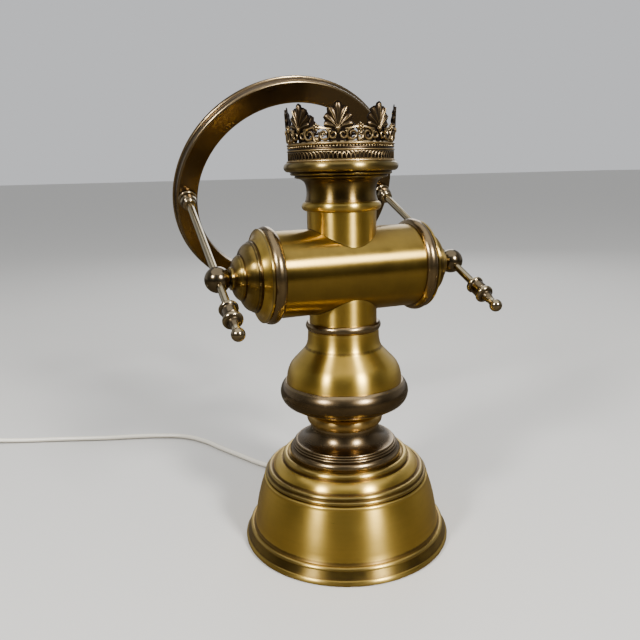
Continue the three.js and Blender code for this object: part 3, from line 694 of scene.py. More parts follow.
SATIN_BRASS = Metal("satin_brass", (0.80, 0.59, 0.19), (0.69, 0.465, 0.095), (0.15, 0.09, 0.03),
                    (0.066, 0.043, 0.021), 0.30, 0.42, 0.004, 0.9, wear_and_highlight=0.3)
DARK_BRONZE = Metal("dark_bronze", (0.42, 0.31, 0.17), (0.16, 0.112, 0.06), (0.045, 0.029, 0.016),
                    (0.07, 0.047, 0.027), 0.24, 0.38, 0.004, 0.35, wear_and_highlight=0.5, tarnish_and_shade_share=0.6)
# On the crown, the bright crests are partly painted highlight and the near-black grooves partly
# painted shade.
CROWN_PATINA = Metal("crown_patina", (0.60, 0.43, 0.20), (0.095, 0.066, 0.038),
                     (0.016, 0.011, 0.008), (0.022, 0.015, 0.010), 0.3, 0.5, 0.005, 0.0,
                     wear_and_highlight=0.85, tarnish_and_shade_share=0.95)
GILT_BRASS = Metal("gilt_brass", (0.70, 0.48, 0.17), (0.34, 0.215, 0.065), (0.08, 0.047, 0.016),
                   (0.09, 0.055, 0.022), 0.3, 0.4, 0.005, 0.7)
PALE_BRASS = Metal("pale_brass", (0.70, 0.61, 0.43), (0.40, 0.34, 0.22), (0.10, 0.075, 0.042),
                   (0.10, 0.075, 0.042), 0.2, 0.36, 0.004, 0.0)
FITTING_BRASS = Metal("fitting_brass", (0.50, 0.41, 0.26), (0.19, 0.148, 0.09),
                      (0.04, 0.028, 0.016), (0.05, 0.034, 0.02), 0.18, 0.36, 0.004, 0.0)
HOLDER_BRASS = Metal("holder_brass", (0.85, 0.66, 0.32), (0.66, 0.47, 0.18), (0.25, 0.16, 0.06),
                     (0.25, 0.16, 0.06), 0.32, 0.45, 0.006, 0.0)
ZINC_STEEL = Metal("zinc_steel", (0.7, 0.7, 0.7), (0.5, 0.5, 0.5), (0.2, 0.19, 0.17),
                   (0.2, 0.19, 0.17), 0.35, 0.5, 0.006, 0.0)
CAST_IRON = Moulded("cast_iron", (0.07, 0.07, 0.072), (0.035, 0.033, 0.032), 0.75, 900.0, 0.25,
                    metallic=0.7)
FELT = Moulded("felt", (0.035, 0.05, 0.037), (0.015, 0.022, 0.016), 0.95, 2600.0, 0.35, sheen=0.4)
IVORY_PVC = Moulded("ivory_pvc", (0.80, 0.79, 0.74), (0.66, 0.645, 0.59), 0.38, 700.0, 0.02)
CERAMIC = Moulded("ceramic", (0.82, 0.80, 0.74), (0.7, 0.68, 0.62), 0.25, 300.0, 0.01)


# ------------------------------------------------------------------------------- pieces
def finish_piece(
    name: str,
    bm: bmesh.types.BMesh,
    body: str,
    nodes: Sequence[str],
    material: bpy.types.Material,
    sharp: float = SHARP,
) -> bpy.types.Object:
    """Makes an object of a mesh, shades it, and hands it to the frame.

    Args:
        name: the piece's name.
        bm: its mesh in the frame's axes; it is freed.
        body: the body that it rides on.
        nodes: the nodes that it stands for.
        material: its finish.
        sharp: angle past which an edge stays crisp, in radians.

    Returns:
        The finished object.
    """
    mesh = bpy.data.meshes.new(name)
    bm.to_mesh(mesh)
    bm.free()
    mesh.polygons.foreach_set("use_smooth", [True] * len(mesh.polygons))
    mesh.set_sharp_from_angle(angle=sharp)
    mesh.materials.append(material)
    made = bpy.data.objects.new(name, mesh)
    bpy.context.scene.collection.objects.link(made)
    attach(made, body)
    if nodes:
        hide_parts(*nodes)
    LOG.info("%s: %d faces, for %s", name, len(mesh.polygons), ", ".join(nodes) or "detail")
    return made


def turned_piece(
    name: str,
    outline: Outline,
    place: Matrix,
    finish: Metal | Moulded,
    way: Way,
    body: str = STAND,
    nodes: Sequence[str] = (),
    steps: int = 160,
) -> bpy.types.Object:
    """Spins an outline, places it and hands it over as a finished piece.

    Args:
        name: the piece's name.
        outline: its half-section, in millimetres.
        place: where its foot and axis are.
        finish: its finish.
        way: the axis that its marks turn about.
        body: the body that it rides on.
        nodes: the nodes that it stands for; one node named after the piece by default.
        steps: facets round the axis.

    Returns:
        The finished object.
    """
    bm = move_mesh(spin_mesh(outline, steps), place)
    stands_for = nodes or (name.removesuffix("_skin"),)
    return finish_piece(name, bm, body, stands_for, finish.material(way))


def dress(node: str, finish: Metal | Moulded, way: Way = Way.STEM) -> None:
    """Gives a CAD node that keeps its own shape its finish."""
    shown = bpy.data.objects[node]
    shown.data.materials.clear()
    shown.data.materials.append(finish.material(way))
    LOG.info("%s: dressed in %s", node, finish.name)


# ------------------------------------------------------------------------------- sub-assemblies
@dataclass
class Studio:
    """Camera, floor and soft lights, in metres."""

    eye: tuple[float, float, float] = (-0.19468, -0.43808, 0.27771)
    heading: float = math.radians(21.90)
    pitch: float = math.radians(12.58)
    roll: float = math.radians(-1.31)
    lens: float = 37.05
    sensor: float = 36.0
    floor_size: float = 40.0
    floor_drop: float = 0.0002
    floor_colour: Colour = (0.62, 0.615, 0.6)
    floor_mirrored: Colour = (0.065, 0.052, 0.030)
    backdrop: Colour = (0.66, 0.67, 0.69)
    room_behind: Colour = (0.50, 0.51, 0.53)
    room_ahead: Colour = (0.065, 0.06, 0.052)
    room_above: Colour = (0.15, 0.155, 0.16)
    aim: tuple[float, float, float] = (0, 0, 0.17)
    warm: Colour = (1.0, 0.98, 0.94)

    def camera(self) -> None:
        """Places the camera."""
        data = bpy.data.cameras.new("camera")
        data.lens, data.sensor_width = self.lens, self.sensor
        data.clip_start, data.clip_end = 0.01, 100.0
        made = bpy.data.objects.new("camera", data)
        bpy.context.scene.collection.objects.link(made)
        turn = (
            Matrix.Rotation(-self.heading, 4, "Z")
            @ Matrix.Rotation(math.pi / 2 - self.pitch, 4, "X")
            @ Matrix.Rotation(self.roll, 4, "Z")
        )
        made.matrix_world = Matrix.Translation(self.eye) @ turn
        bpy.context.scene.camera = made

    def floor(self) -> None:
        """Lays a plain pale floor, which is kept dim in what the metal mirrors."""
        bm = bmesh.new()
        bmesh.ops.create_grid(bm, x_segments=1, y_segments=1, size=self.floor_size)
        bmesh.ops.translate(bm, vec=(0, 0, -self.floor_drop), verts=bm.verts[:])
        mesh = bpy.data.meshes.new("floor")
        bm.to_mesh(mesh)
        bm.free()
        made = bpy.data.objects.new("floor", mesh)
        bpy.context.scene.collection.objects.link(made)
        paint = bpy.data.materials.new("pale_floor")
        paint.use_nodes = True
        n = Nodes(paint.node_tree)
        shader = paint.node_tree.nodes["Principled BSDF"]
        seen = n.add("ShaderNodeLightPath").outputs["Is Camera Ray"]
        n.feed(shader.inputs["Base Color"], n.mix(seen, self.floor_mirrored, self.floor_colour))
        shader.inputs["Roughness"].default_value = 0.75
        mesh.materials.append(paint)

    def light(self, name: str, at: Sequence[float], size: tuple[float, float], power: float,
              colour: Colour = (1.0, 1.0, 1.0)) -> None:
        """Hangs one soft rectangular light that faces the lamp.

        Args:
            name: the light's name.
            at: its place.
            size: its width and height.
            power: its power in watts.
            colour: its tint.
        """
        data = bpy.data.lights.new(name, "AREA")
        data.shape, data.size, data.size_y = "RECTANGLE", *size
        data.energy, data.color = power, colour
        made = bpy.data.objects.new(name, data)
        bpy.context.scene.collection.objects.link(made)
        facing = (Vector(self.aim) - Vector(at)).to_track_quat("-Z", "Y")
        made.matrix_world = Matrix.Translation(at) @ facing.to_matrix().to_4x4()

    def surroundings(self) -> None:
        """Sets a pale backdrop, with a dim room on the camera's own side of the lamp."""
        world = bpy.data.worlds.new("surroundings")
        bpy.context.scene.world = world
        world.use_nodes = True
        n = Nodes(world.node_tree)
        world.node_tree.nodes.clear()
        split = n.add("ShaderNodeSeparateXYZ")
        n.feed(split.inputs[0], n.add("ShaderNodeTexCoord").outputs["Generated"])
        x, y, z = split.outputs
        toward = n.math("SUBTRACT", n.math("MULTIPLY", x, -math.sin(self.heading)),
                        n.math("MULTIPLY", y, math.cos(self.heading)))
        shade = n.mix(n.ramp(toward, -0.5, 0.35), self.room_behind, self.room_ahead)
        shade = n.mix(n.ramp(z, 0.15, 0.95), shade, self.room_above)
        seen = n.add("ShaderNodeLightPath").outputs["Is Camera Ray"]
        shade = n.mix(seen, shade, self.backdrop)
        back = n.add("ShaderNodeBackground")
        n.feed(back.inputs["Color"], shade)
        back.inputs["Strength"].default_value = 1.0
        n.feed(n.add("ShaderNodeOutputWorld").inputs["Surface"], back.outputs[0])

    def lights(self) -> None:
        """Hangs two compact soft boxes in front, a weak one behind and a broad sky above."""
        self.light("key_left", (-1.22, -0.60, 1.05), (0.24, 0.30), 26, self.warm)
        self.light("key_right", (0.37, -1.31, 1.05), (0.24, 0.34), 42, self.warm)
        self.light("behind", (0.7, 1.3, 0.9), (0.8, 0.8), 6)
        sky = bpy.data.lights.new("overhead", "SUN")
        sky.energy, sky.angle = 1.3, math.radians(80)
        bpy.context.scene.collection.objects.link(bpy.data.objects.new("overhead", sky))

    def build(self) -> None:
        """Makes the whole studio."""
        self.camera()
        self.floor()
        self.surroundings()
        self.lights()


@dataclass
class MainsLead:
    """The free cord with its in-line switch, coil and plug, in millimetres but for its length."""

    length: float = 1.8  # real length, in metres
    radius: float = 2.5
    exit: tuple[float, float, float] = (0.0, 74.4, 21.0)
    run: tuple[tuple[float, float, float], ...] = (
        (0, 74.4, 21), (-0.4, 81, 20.7), (-2, 89, 18.4), (-6, 101, 10.4),
        (-14, 117, 3.5), (-25, 133, 2.5), (-41, 163.7, 2.5), (-54.5, 191.5, 2.5),
        (-68, 220, 2.5), (-84, 239.5, 2.5), (-106, 252, 2.5), (-134, 262.7, 2.5),
        (-160, 271, 2.5), (-209, 290, 2.5), (-248, 304.6, 2.5), (-270, 312.6, 3.4),
    )
    switch_at: tuple[float, float] = (-320, 331)
    switch_turn: float = math.radians(159)
    switch_size: tuple[float, float, float] = (56, 22, 16.6)
    switch_split: float = 8.6
    switch_cord_z: float = 5.4
    rocker_hole: tuple[float, float] = (20.6, 9.2)
    pivot_z: float = 14.0
    rest: float = math.radians(6)
    coil_at: tuple[float, float] = (-403, 318)
    coil_radius: float = 37.5  # centreline of the outermost turn
    coil_start: float = math.radians(75)
    turns_below: int = 3
    turns_above: float = 3 + 17 / 360
    inner_above: float = 21.4  # where the upper layer starts, at the inside
    plug_at: tuple[float, float] = (-394, 220)
    plug_turn: float = math.radians(12)
    plug_size: tuple[float, float, float] = (26, 32, 13.7)
    plug_gap: float = 0.1
    relief: float = 22
    pins: float = 18.6

    def switch_frame(self) -> Matrix:
        """Frame of the switch, with +X along the cord."""
        return shifted(*self.switch_at, 0) @ Matrix.Rotation(self.switch_turn, 4, "Z")

    def plug_frame(self) -> Matrix:
        """Frame of the plug, with its pins towards -Y."""
        return shifted(*self.plug_at, 0) @ Matrix.Rotation(self.plug_turn, 4, "Z")

    def coil_point(self, angle: float, radius: float, z: float) -> Vector:
        """A point of the coil, in millimetres."""
        x, y = self.coil_at
        return Vector((x + radius * math.cos(angle), y + radius * math.sin(angle), z))

    def path(self) -> list[Vector]:
        """The centreline from the base to the plug, in metres."""
        points = [Vector(p) for p in self.run]
        half = self.switch_size[0] / 2 + 0.3
        switch_mm = in_millimetres(self.switch_frame())
        for along in (-half - 8, -half, 0, half, half + 8):
            drop = 0.05 * max(0.0, abs(along) - half)
            points.append(switch_mm @ Vector((along, 0, self.switch_cord_z - drop)))
        start, r = self.coil_start, self.coil_radius
        points.append(self.coil_point(start - math.radians(26), r + 4.5, 3.2))
        per_turn, pitch, low_z, high_z = 18, 2 * self.radius, self.radius, 3 * self.radius
        count = self.turns_below * per_turn
        for i in range(count + 1):
            turn = FULL_TURN * i / per_turn
            points.append(self.coil_point(start + turn, r - pitch * i / per_turn, low_z))
        inner = r - pitch * self.turns_below
        climb = math.radians(100)
        end = start + FULL_TURN * self.turns_below
        for share in (0.2, 0.4, 0.6, 0.8, 1.0):
            rise = share * share * (3 - 2 * share)
            radius = inner + (self.inner_above - inner) * rise
            z = low_z + (high_z - low_z) * rise
            points.append(self.coil_point(end + climb * share, radius, z))
        count = round(self.turns_above * per_turn)
        for i in range(1, count + 1):
            share = i / count
            turn = FULL_TURN * self.turns_above * share
            radius = self.inner_above + pitch * self.turns_above * share
            points.append(self.coil_point(end + climb + turn, radius, high_z))
        leave = end + climb + FULL_TURN * self.turns_above
        last = points[-1]
        way = Vector((-math.sin(leave), math.cos(leave), 0))
        points.append(last + way * 13 + Vector((2.2, 0, -0.4)))
        points.append(last + way * 26 + Vector((9.0, 0, -0.8)))
        plug_mm = in_millimetres(self.plug_frame())
        mouth = self.plug_size[1] / 2 + self.plug_gap + self.relief
        points.append(plug_mm @ Vector((-2.9, mouth + 16.5, self.plug_size[2] / 2 - 0.2)))
        points.append(plug_mm @ Vector((0, mouth + 0.3, self.plug_size[2] / 2)))
        return [p * MM for p in points]

    def cord(self, others: Sequence[bpy.types.Object]) -> None:
        path = self.path()
        data = bpy.data.curves.new("cord", "CURVE")
        data.dimensions = "3D"
        data.bevel_depth, data.bevel_resolution = self.radius * MM, 4
        data.resolution_u, data.use_fill_caps = 6, True
        spline = data.splines.new("BEZIER")
        spline.bezier_points.add(len(path) - 1)
        for point, place in zip(spline.bezier_points, path):
            point.co = place
            point.handle_left_type = point.handle_right_type = "AUTO"
        made = bpy.data.objects.new("cord", data)
        bpy.context.scene.collection.objects.link(made)
        data.materials.append(IVORY_PVC.material())
        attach(made, STAND)
        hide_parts("cord_run", "cord_link", "cord_coil", "cord_tail")
        LOG.info("cord: %d points", len(path))

    def grommet(self) -> None:
        """Turns the flanged grommet and its tapered relief at the base."""
        y = low("cord_grommet").y * PER_METRE
        top = high("cord_grommet").y * PER_METRE
        flange = top - 3
        outline = (
            Outline(2.55, y).line(4, y).line(4, flange).line(5.2, flange)
            .bead(5.0, flange + 1.5, 0.3).curve(3.9, flange + 1.8, 3.5, top - 0.3)
            .line(3.2, top).line(2.55, top).close()
        )
        place = shifted(0, 0, self.exit[2]) @ BACKWARD
        turned_piece("cord_grommet_skin", outline, place, IVORY_PVC, Way.STEM,
                     steps=48)

    def moulding(self, name: str, bm: bmesh.types.BMesh, nodes: Sequence[str], body: str = STAND,
                 sharp: float = SHARP) -> bpy.types.Object:
        """Hands over one moulded piece of the lead.

        Args:
            name: the piece's name.
            bm: its mesh in the frame's axes; it is freed.
            nodes: the nodes that it stands for.
            body: the body that it rides on.
            sharp: angle past which an edge stays crisp, in radians.

        Returns:
            The finished object.
        """
        return finish_piece(name, bm, body, nodes, IVORY_PVC.material(), sharp)

    def switch(self) -> list[bpy.types.Object]:
        """Moulds the switch's two shells and its rocker."""
        length, width, height = self.switch_size
        place = self.switch_frame()
        plan = rounded_plan(length, width, 8)
        base = move_mesh(prism_mesh(plan, self.switch_split - SLIP, 1.2), place)
        made = [self.moulding("switch_base_shell", base, ("switch_base",))]
        cover = bmesh.new()
        tall = height - self.switch_split - SLIP
        steps = len(plan)
        hole = resample(rounded_plan(*self.rocker_hole, 1.2, 4), steps)
        shapes = (
            (plan, 0.0), (plan, tall - 3.2), (offset_plan(plan, -0.9), tall - 1.2),
            (offset_plan(plan, -2.6), tall), (hole, tall), (hole, 2.2),
        )
        rings = []
        for loop, z in shapes:
            rings.append([cover.verts.new((x * MM, y * MM, z * MM)) for x, y in loop])
        loops = [[cover.edges.new((r[i - 1], r[i])) for i in range(steps)] for r in rings]
        for first, second in zip(loops, loops[1:]):
            bmesh.ops.bridge_loops(cover, edges=first + second)
        for loop in (loops[0], loops[-1]):
            bmesh.ops.contextual_create(cover, geom=loop)
        bmesh.ops.recalc_face_normals(cover, faces=cover.faces[:])
        move_mesh(cover, place @ shifted(0, 0, self.switch_split + SLIP))
        made.append(self.moulding("switch_cover_shell", cover, ("switch_cover", "rocker_pin"),
                                  sharp=math.radians(50)))
        profile = Outline(-8.6, -1.6).line(8.6, -1.6).line(9, 4.4).curve(0, 2.4, -9, 4.4, 16)
        bar = prism_mesh(profile.points, 8, 0.5)
        seat = shifted(0, 0, self.pivot_z) @ Matrix.Rotation(self.rest, 4, "Y")
        move_mesh(bar, place @ seat @ (shifted(0, 4, 0) @ UPRIGHT))
        made.append(self.moulding("rocker_bar", bar, ("switch_rocker",), ROCKER))
        return made

    def plug(self) -> list[bpy.types.Object]:
        """Moulds the two-pin plug and its tapered relief."""
        width, length, height = self.plug_size
        place = self.plug_frame()
        x, y = width / 2, length / 2
        corner = 4.0
        outline = Outline(-x + 2, -y).line(x - 2, -y).line(x, -y + 2).line(x, 0)
        outline.curve(x, y, corner, y, 14).line(-corner, y).curve(-x, y, -x, 0, 14).line(-x, -y + 2)
        body = move_mesh(prism_mesh(outline.points, height, 2.6, 5), place)
        made = [self.moulding("plug_shell", body, ("plug_body",), sharp=math.radians(55))]
        boot = Outline(0, 0).line(4.9, 0)
        ribs = 5
        for i in range(ribs):
            foot = i * (self.relief - 2) / ribs
            slope = 4.9 - 1.5 * (i + 0.8) / ribs
            boot.line(slope, foot + 2.6).line(slope - 0.5, foot + 2.9).line(slope - 0.5, foot + 3.7)
            boot.line(slope - 0.1, foot + 4.0)
        boot.line(3.2, self.relief).line(0, self.relief)
        mouth = length / 2 + self.plug_gap
        bm = move_mesh(spin_mesh(boot, 40), place @ shifted(0, mouth, height / 2) @ BACKWARD)
        made.append(self.moulding("plug_boot", bm, ("plug_relief",)))
        for side, sign in (("a", -1), ("b", 1)):
            pin = Outline(0, 0).line(2, 0).line(2, 17.6).bead(0, 19, 0.9, 6)
            stand = shifted(sign * self.pins / 2, -mouth, height / 2)
            bm = move_mesh(spin_mesh(pin, 32), place @ stand @ UPRIGHT)
            made.append(finish_piece(f"plug_pin_{side}_bar", bm, STAND, (f"plug_pin_{side}",),
                                     HOLDER_BRASS.material(Way.STEM)))
        return made

    def build(self) -> None:
        """Makes the lead and everything on it."""
        self.grommet()
        others = self.switch() + self.plug()
        self.cord(others)


def resample(plan: Sequence[Point], count: int) -> list[Point]:
    """Spaces a given number of points evenly round a closed plan."""
    closed = list(plan) + [plan[0]]
    lengths = [math.dist(a, b) for a, b in zip(closed, closed[1:])]
    total, found = sum(lengths), []
    for i in range(count):
        left = total * i / count
        for (a, b), size in zip(zip(closed, closed[1:]), lengths):
            if left <= size:
                share = left / size if size else 0.0
                found.append((a[0] + (b[0] - a[0]) * share, a[1] + (b[1] - a[1]) * share))
                break
            left -= size
    return found


def offset_plan(plan: Sequence[Point], amount: float, spine_end: float = 20.0) -> list[Point]:
    """Moves the corners of a long centred plan outwards.

    Args:
        plan: its corners, in millimetres.
        amount: how far they move, negative to pull them in.
        spine_end: where the middle line that they move away from ends.

    Returns:
        The moved corners.
    """
    found = []
    for x, y in plan:
        spine = max(-spine_end, min(spine_end, x))
        away = math.hypot(x - spine, y) or 1.0
        found.append((x + (x - spine) / away * amount, y + y / away * amount))
    return found


@dataclass
class Base:
    """The bell base with its felt."""

    rim: float = 79.0
    bell: float = 70.8
    shoulder: float = 62.4
    top_ring: float = 48.4
    height: float = 66.6

    def shell(self) -> Outline:
        """Half-section of the spun bell."""
        s, t, h = self.shoulder, self.top_ring, self.height
        return (
            Outline(self.rim - 1.8, 0.4).shade(0.35).line(self.rim - 0.5, 0.4)
            .bead(self.rim - 0.7, 4.2, 0.75).shade(0.8).line(self.rim - 1.3, 4.5)
            .line(self.rim - 3.6, 9.6).shade(0.6).bead(self.rim - 5.9, 12.1, 1.1)
            .shade(0.7).line(self.rim - 6.3, 12.1).shade(0.0)
            .curve(self.bell + 1.0, 12.4, self.bell, 17.4, 12)
            .curve(self.bell - 1.7, 33, s + 1.0, 49.0, 26).bead(s - 0.1, 50.7, 0.5, 5)
            .shade(0.85).line(s - 1.1, 50.9).line(s - 1.1, 51.5).bead(s - 1.5, 54.1, 1.25)
            .line(s - 2.0, 54.3).line(s - 2.1, 54.9).bead(s - 4.9, 57.0, 1.1)
            .line(s - 5.5, 56.6).line(s - 6.2, 56.9).shade(0.0)
            .curve(s - 8.0, 62.0, t + 1.3, h - 3.3, 14)
            .shade(0.65).line(t - 0.1, h - 3.3).line(t - 0.2, h - 2.4).bead(t - 3.3, h + 1.1, 1.5)
            .line(44, h + 0.15).line(43.3, h).line(5.3, h).line(5.3, h - 1.6).line(t - 3, h - 1.6)
            .line(s - 6, 53.3).line(s - 4, 50).line(self.bell - 3, 28).line(self.bell - 2, 12)
            .line(self.rim - 5.4, 9).line(self.rim - 2.2, 4).close()
        )

    def build(self) -> None:
        """Makes the bell and the felt."""
        turned_piece("base_skin", self.shell(), standing(), SATIN_BRASS, Way.STEM,
                     nodes=("base_shell",), steps=256)
        felt = Outline(0, 0).line(76, 0).bead(76, 2, 0.35, 6).line(0, 2)
        turned_piece("felt_pad", felt, standing(), FELT, Way.STEM, nodes=("base_felt",),
                     steps=192)


@dataclass
class Stem:
    """Foot, collar, vase and the two tubes."""

    rod_hole: float = 5.15
    foot: float = 43.0
    foot_neck: float = 26.0
    collar: float = 29.0
    collar_step: float = 27.6
    vase: float = 43.4
    vase_foot: float = 28.6
    band: tuple[float, float] = (5.4, 22.8)
    ring: float = 48.4
    tube: float = 25.0
    tube_wall: float = 1.5
    socket: float = 14.0
    saddle: float = 31.1

    def foot_outline(self, tall: float) -> Outline:
        """Half-section of the turned foot."""
        f, n = self.foot, self.foot_neck
        return (
            Outline(self.rod_hole, 0).line(f - 1.3, 0).bead(f - 2.0, 6.2, 1.35).line(f - 2.9, 6.5)
            .line(f - 2.9, 6.9).bead(f - 3.3, 8.3, 0.45).line(f - 3.9, 8.5).bead(f - 4.4, 9.9, 0.5)
            .line(f - 5.0, 10.1).bead(f - 5.8, 11.3, 0.45).shade(0.1).line(f - 6.6, 11.4)
            .curve(n + 2.5, 12.8, n + 0.2, tall - 4, 16).line(n, tall - 3).line(n, tall)
            .line(self.rod_hole, tall).close()
        )

    def collar_outline(self, tall: float) -> Outline:
        """Half-section of the gilt collar, a broad bead under a thin one."""
        c, s, step = self.collar, self.collar_step, tall * 0.8
        return (
            Outline(self.rod_hole, 0).line(c - 2.6, 0).bead(c - 2.2, step - 0.3, 2.25, 16)
            .shade(0.9).line(s - 2.0, step - 0.1).line(s - 2.0, step + 0.1).shade(0.2)
            .bead(s - 1.6, tall - 0.1, 1.0, 8).line(s - 2.4, tall).line(self.rod_hole, tall).close()
        )

    def vase_outline(self, tall: float) -> Outline:
        """Half-section of the vase."""
        v, neck, bore = self.vase, self.tube + 1.5, self.tube + SLIP
        start, end = self.band
        foot = tall - self.socket + 0.4
        return (
            Outline(self.rod_hole, 0).line(self.vase_foot - 0.4, 0)
            .curve(v - 5.0, start * 0.3, v - 0.3, start - 0.3, 12).line(v, start + 0.3)
            .line(v, end).curve(v - 0.4, foot - 15.5, v - 5.2, foot - 10.4, 14)
            .curve(self.tube + 8.2, foot - 5.4, self.tube + 4.6, foot - 1.3, 12)
            .curve(neck, foot + 2.2, neck, foot + 12, 20)
            .line(neck, tall).line(bore, tall).line(bore, foot - 0.4)
            .line(self.tube + 1.8, foot - 0.4).line(v - 8.4, foot - 11).line(v - 1.7, end + 1)
            .line(v - 1.5, start).line(self.vase_foot - 1, 1.5).line(self.rod_hole, 1.5).close()
        )

    def tube_piece(self, name: str, node: str, low_z: float, high_z: float, cut_top: bool) -> None:
        """Makes a stem tube whose one end is saddled over the cross tube.

        Args:
            name: the piece's name.
            node: the node that it stands for.
            low_z: its lower end, in millimetres.
            high_z: its upper end, in millimetres.
            cut_top: whether the saddle is at its upper end.
        """
        r, bore = self.tube, self.tube - self.tube_wall
        outline = Outline(r, low_z).line(r, high_z).line(bore, high_z).line(bore, low_z).close()
        bm = spin_mesh(outline, 160, 1.6)
        axis_mm = AXIS_Z * PER_METRE
        flat, free = (high_z, low_z) if cut_top else (low_z, high_z)
        for vert in bm.verts:
            drop = math.sqrt(self.saddle**2 - (vert.co.y * PER_METRE) ** 2)
            end = axis_mm - drop if cut_top else axis_mm + drop
            share = (vert.co.z * PER_METRE - free) / (flat - free)
            vert.co.z = (free + (end - free) * share) * MM
        finish_piece(name, bm, STAND, (node,), SATIN_BRASS.material(Way.STEM))

    def build(self) -> None:
        """Makes every turned piece of the stem."""
        nodes = ("foot_collar", "neck_collar", "vase_body", "neck_ring")
        place = [low(node).z for node in nodes]
        tall = [(high(node).z - low(node).z) * PER_METRE for node in nodes]
        turned_piece("foot_skin", self.foot_outline(tall[0]), standing(place[0]), DARK_BRONZE,
                     Way.STEM, nodes=("foot_collar",), steps=192)
        turned_piece("collar_skin", self.collar_outline(tall[1]), standing(place[1]), GILT_BRASS,
                     Way.STEM, nodes=("neck_collar",), steps=160)
        turned_piece("vase_skin", self.vase_outline(tall[2]), standing(place[2]), SATIN_BRASS,
                     Way.STEM, nodes=("vase_body",), steps=192)
        inner, half = self.vase + SLIP, (self.band[1] - self.band[0]) / 2 - 0.3
        torus = (
            Outline(inner, -half).line(inner + 0.7, -half)
            .bead(inner + 0.7, half, self.ring - inner - 0.7, 24).line(inner, half).close()
        )
        turned_piece("torus_skin", torus, standing(middle("vase_ring").z), DARK_BRONZE, Way.STEM,
                     nodes=("vase_ring",), steps=192)
        t, top = self.tube + SLIP, tall[3]
        bead = Outline(t, 0).line(t + 1.3, 0).bead(t + 1.3, top, 1.5, 14).line(t, top).close()
        turned_piece("neck_ring_skin", bead, standing(place[3]), DARK_BRONZE, Way.STEM,
                     nodes=("neck_ring",), steps=160)
        self.tube_piece("lower_tube_skin", "lower_tube", low("lower_tube").z * PER_METRE,
                        AXIS_Z * PER_METRE, True)
        self.tube_piece("upper_tube_skin", "upper_tube", AXIS_Z * PER_METRE,
                        high("upper_tube").z * PER_METRE, False)


@dataclass
class CrossTube:
    """The horizontal tube with its end rings and stepped caps."""

    radius: float = 30.8
    wall: float = 1.6
    ring: float = 34.5
    cap: float = 33.0
    step: float = 24.2
    dome: float = 15.4
    nose: float = 8.1
    cap_length: float = 22.4

    def cap_outline(self) -> Outline:
        """Half-section of a stepped end cap, from its rim to its nose."""
        c, s, d, n, tall = self.cap, self.step, self.dome, self.nose, self.cap_length
        return (
            Outline(11, 0).shade(0.75).line(c - 0.3, 0).line(c, 0.4).line(c, 1.2)
            .line(c - 0.9, 1.6).shade(0.08)
            .curve(s + 4.2, 2.2, s + 1.5, 5.4, 12).shade(0.97).line(s + 0.3, 5.7).line(s + 0.5, 6.4)
            .bead(s - 0.1, 8.2, 0.5, 6).shade(0.74)
            .curve(s - 1.2, 12.6, d + 1.3, 14.4, 12).shade(1.0).line(d + 0.2, 14.7)
            .shade(0.85).bead(d - 0.1, 16.7, 0.5, 6)
            .curve(d - 1.6, 19.4, n + 0.6, 20.3, 10).line(n, 20.6)
            .line(n, tall - 0.3).line(n - 0.4, tall).line(3.25, tall).line(3.25, tall - 6.2)
            .line(11, tall - 6.2).close()
        )

    def build(self) -> None:
        """Makes the tube, rings and caps."""
        half = high("cross_tube").x * PER_METRE
        r, bore = self.radius, self.radius - self.wall
        body = (
            Outline(r, -half).shade(0.6).line(r, half).line(bore, half).line(bore, -half).close()
        )
        turned_piece("cross_tube_skin", body, lying(1, 0), SATIN_BRASS, Way.CROSS,
                     nodes=("cross_tube",), steps=192)
        for side, sign in (("left", -1), ("right", 1)):
            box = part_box(f"{side}_end_ring")
            foot = min(abs(box[0].x), abs(box[1].x))
            wide = abs(box[1].x - box[0].x) * PER_METRE
            inner, bulge = r + SLIP, self.ring - (r + SLIP) - 0.7
            ring = (
                Outline(inner, 0).line(inner + 0.7, 0).bead(inner + 0.7, wide, bulge, 18)
                .line(inner, wide).close()
            )
            turned_piece(f"{side}_ring_skin", ring, lying(sign, foot), DARK_BRONZE, Way.CROSS,
                         nodes=(f"{side}_end_ring",), steps=160)
            foot = min(abs(low(f"{side}_end_cap").x), abs(high(f"{side}_end_cap").x))
            turned_piece(f"{side}_cap_skin", self.cap_outline(), lying(sign, foot), SATIN_BRASS,
                         Way.CROSS, nodes=(f"{side}_end_cap",), steps=160)


@dataclass
class Gallery:
    """The gallery cup under the crown."""

    bead: float = 28.6
    cove: float = 24.6
    flange: float = 40.4
    tube: float = 25.0
    crown: float = 38.4

    def outline(self, h: float) -> Outline:
        """Half-section of the cup, from its spigot up to its flange."""
        f, c, t = self.flange, self.cove, self.tube
        spigot = t - 1.65
        return (
            Outline(spigot - 1.5, -6).line(spigot, -6).line(spigot, 0.1).shade(0.1)
            .line(t + 0.9, 0.1).bead(t + 1.2, 6.5, self.bead - t - 1.1, 16).shade(0.9)
            .line(t + 1.2, 6.9)
            .curve(c + 0.6, 8.6, c + 0.3, 12.6, 10).curve(c + 0.1, h - 16.6, c + 1.6, h - 13.6, 10)
            .curve(c + 3.4, h - 11.2, f - 8.8, h - 10.9, 8).shade(0.97).line(f - 8.2, h - 10.6)
            .bead(f - 7.6, h - 9.0, 0.7, 6).line(f - 5.4, h - 8.7).bead(f - 4.6, h - 6.7, 0.8, 8)
            .line(f - 3.1, h - 6.4).bead(f - 1.2, h - 0.4, 2.4, 18)
            .line(self.crown + 0.3, h).line(35, h).line(35, h - 4).line(c + 3, h - 9)
            .line(c - 2.1, h - 14).line(c - 2.1, 3).line(5.15, 3).line(5.15, 1.5)
            .line(spigot - 1.5, 1.5).close()
        )

    def build(self) -> None:
        """Makes the cup."""
        foot = high("upper_tube").z
        tall = (high("gallery_cup").z - foot) * PER_METRE
        turned_piece("gallery_skin", self.outline(tall), standing(foot), SATIN_BRASS, Way.STEM,
                     nodes=("gallery_cup",), steps=192)


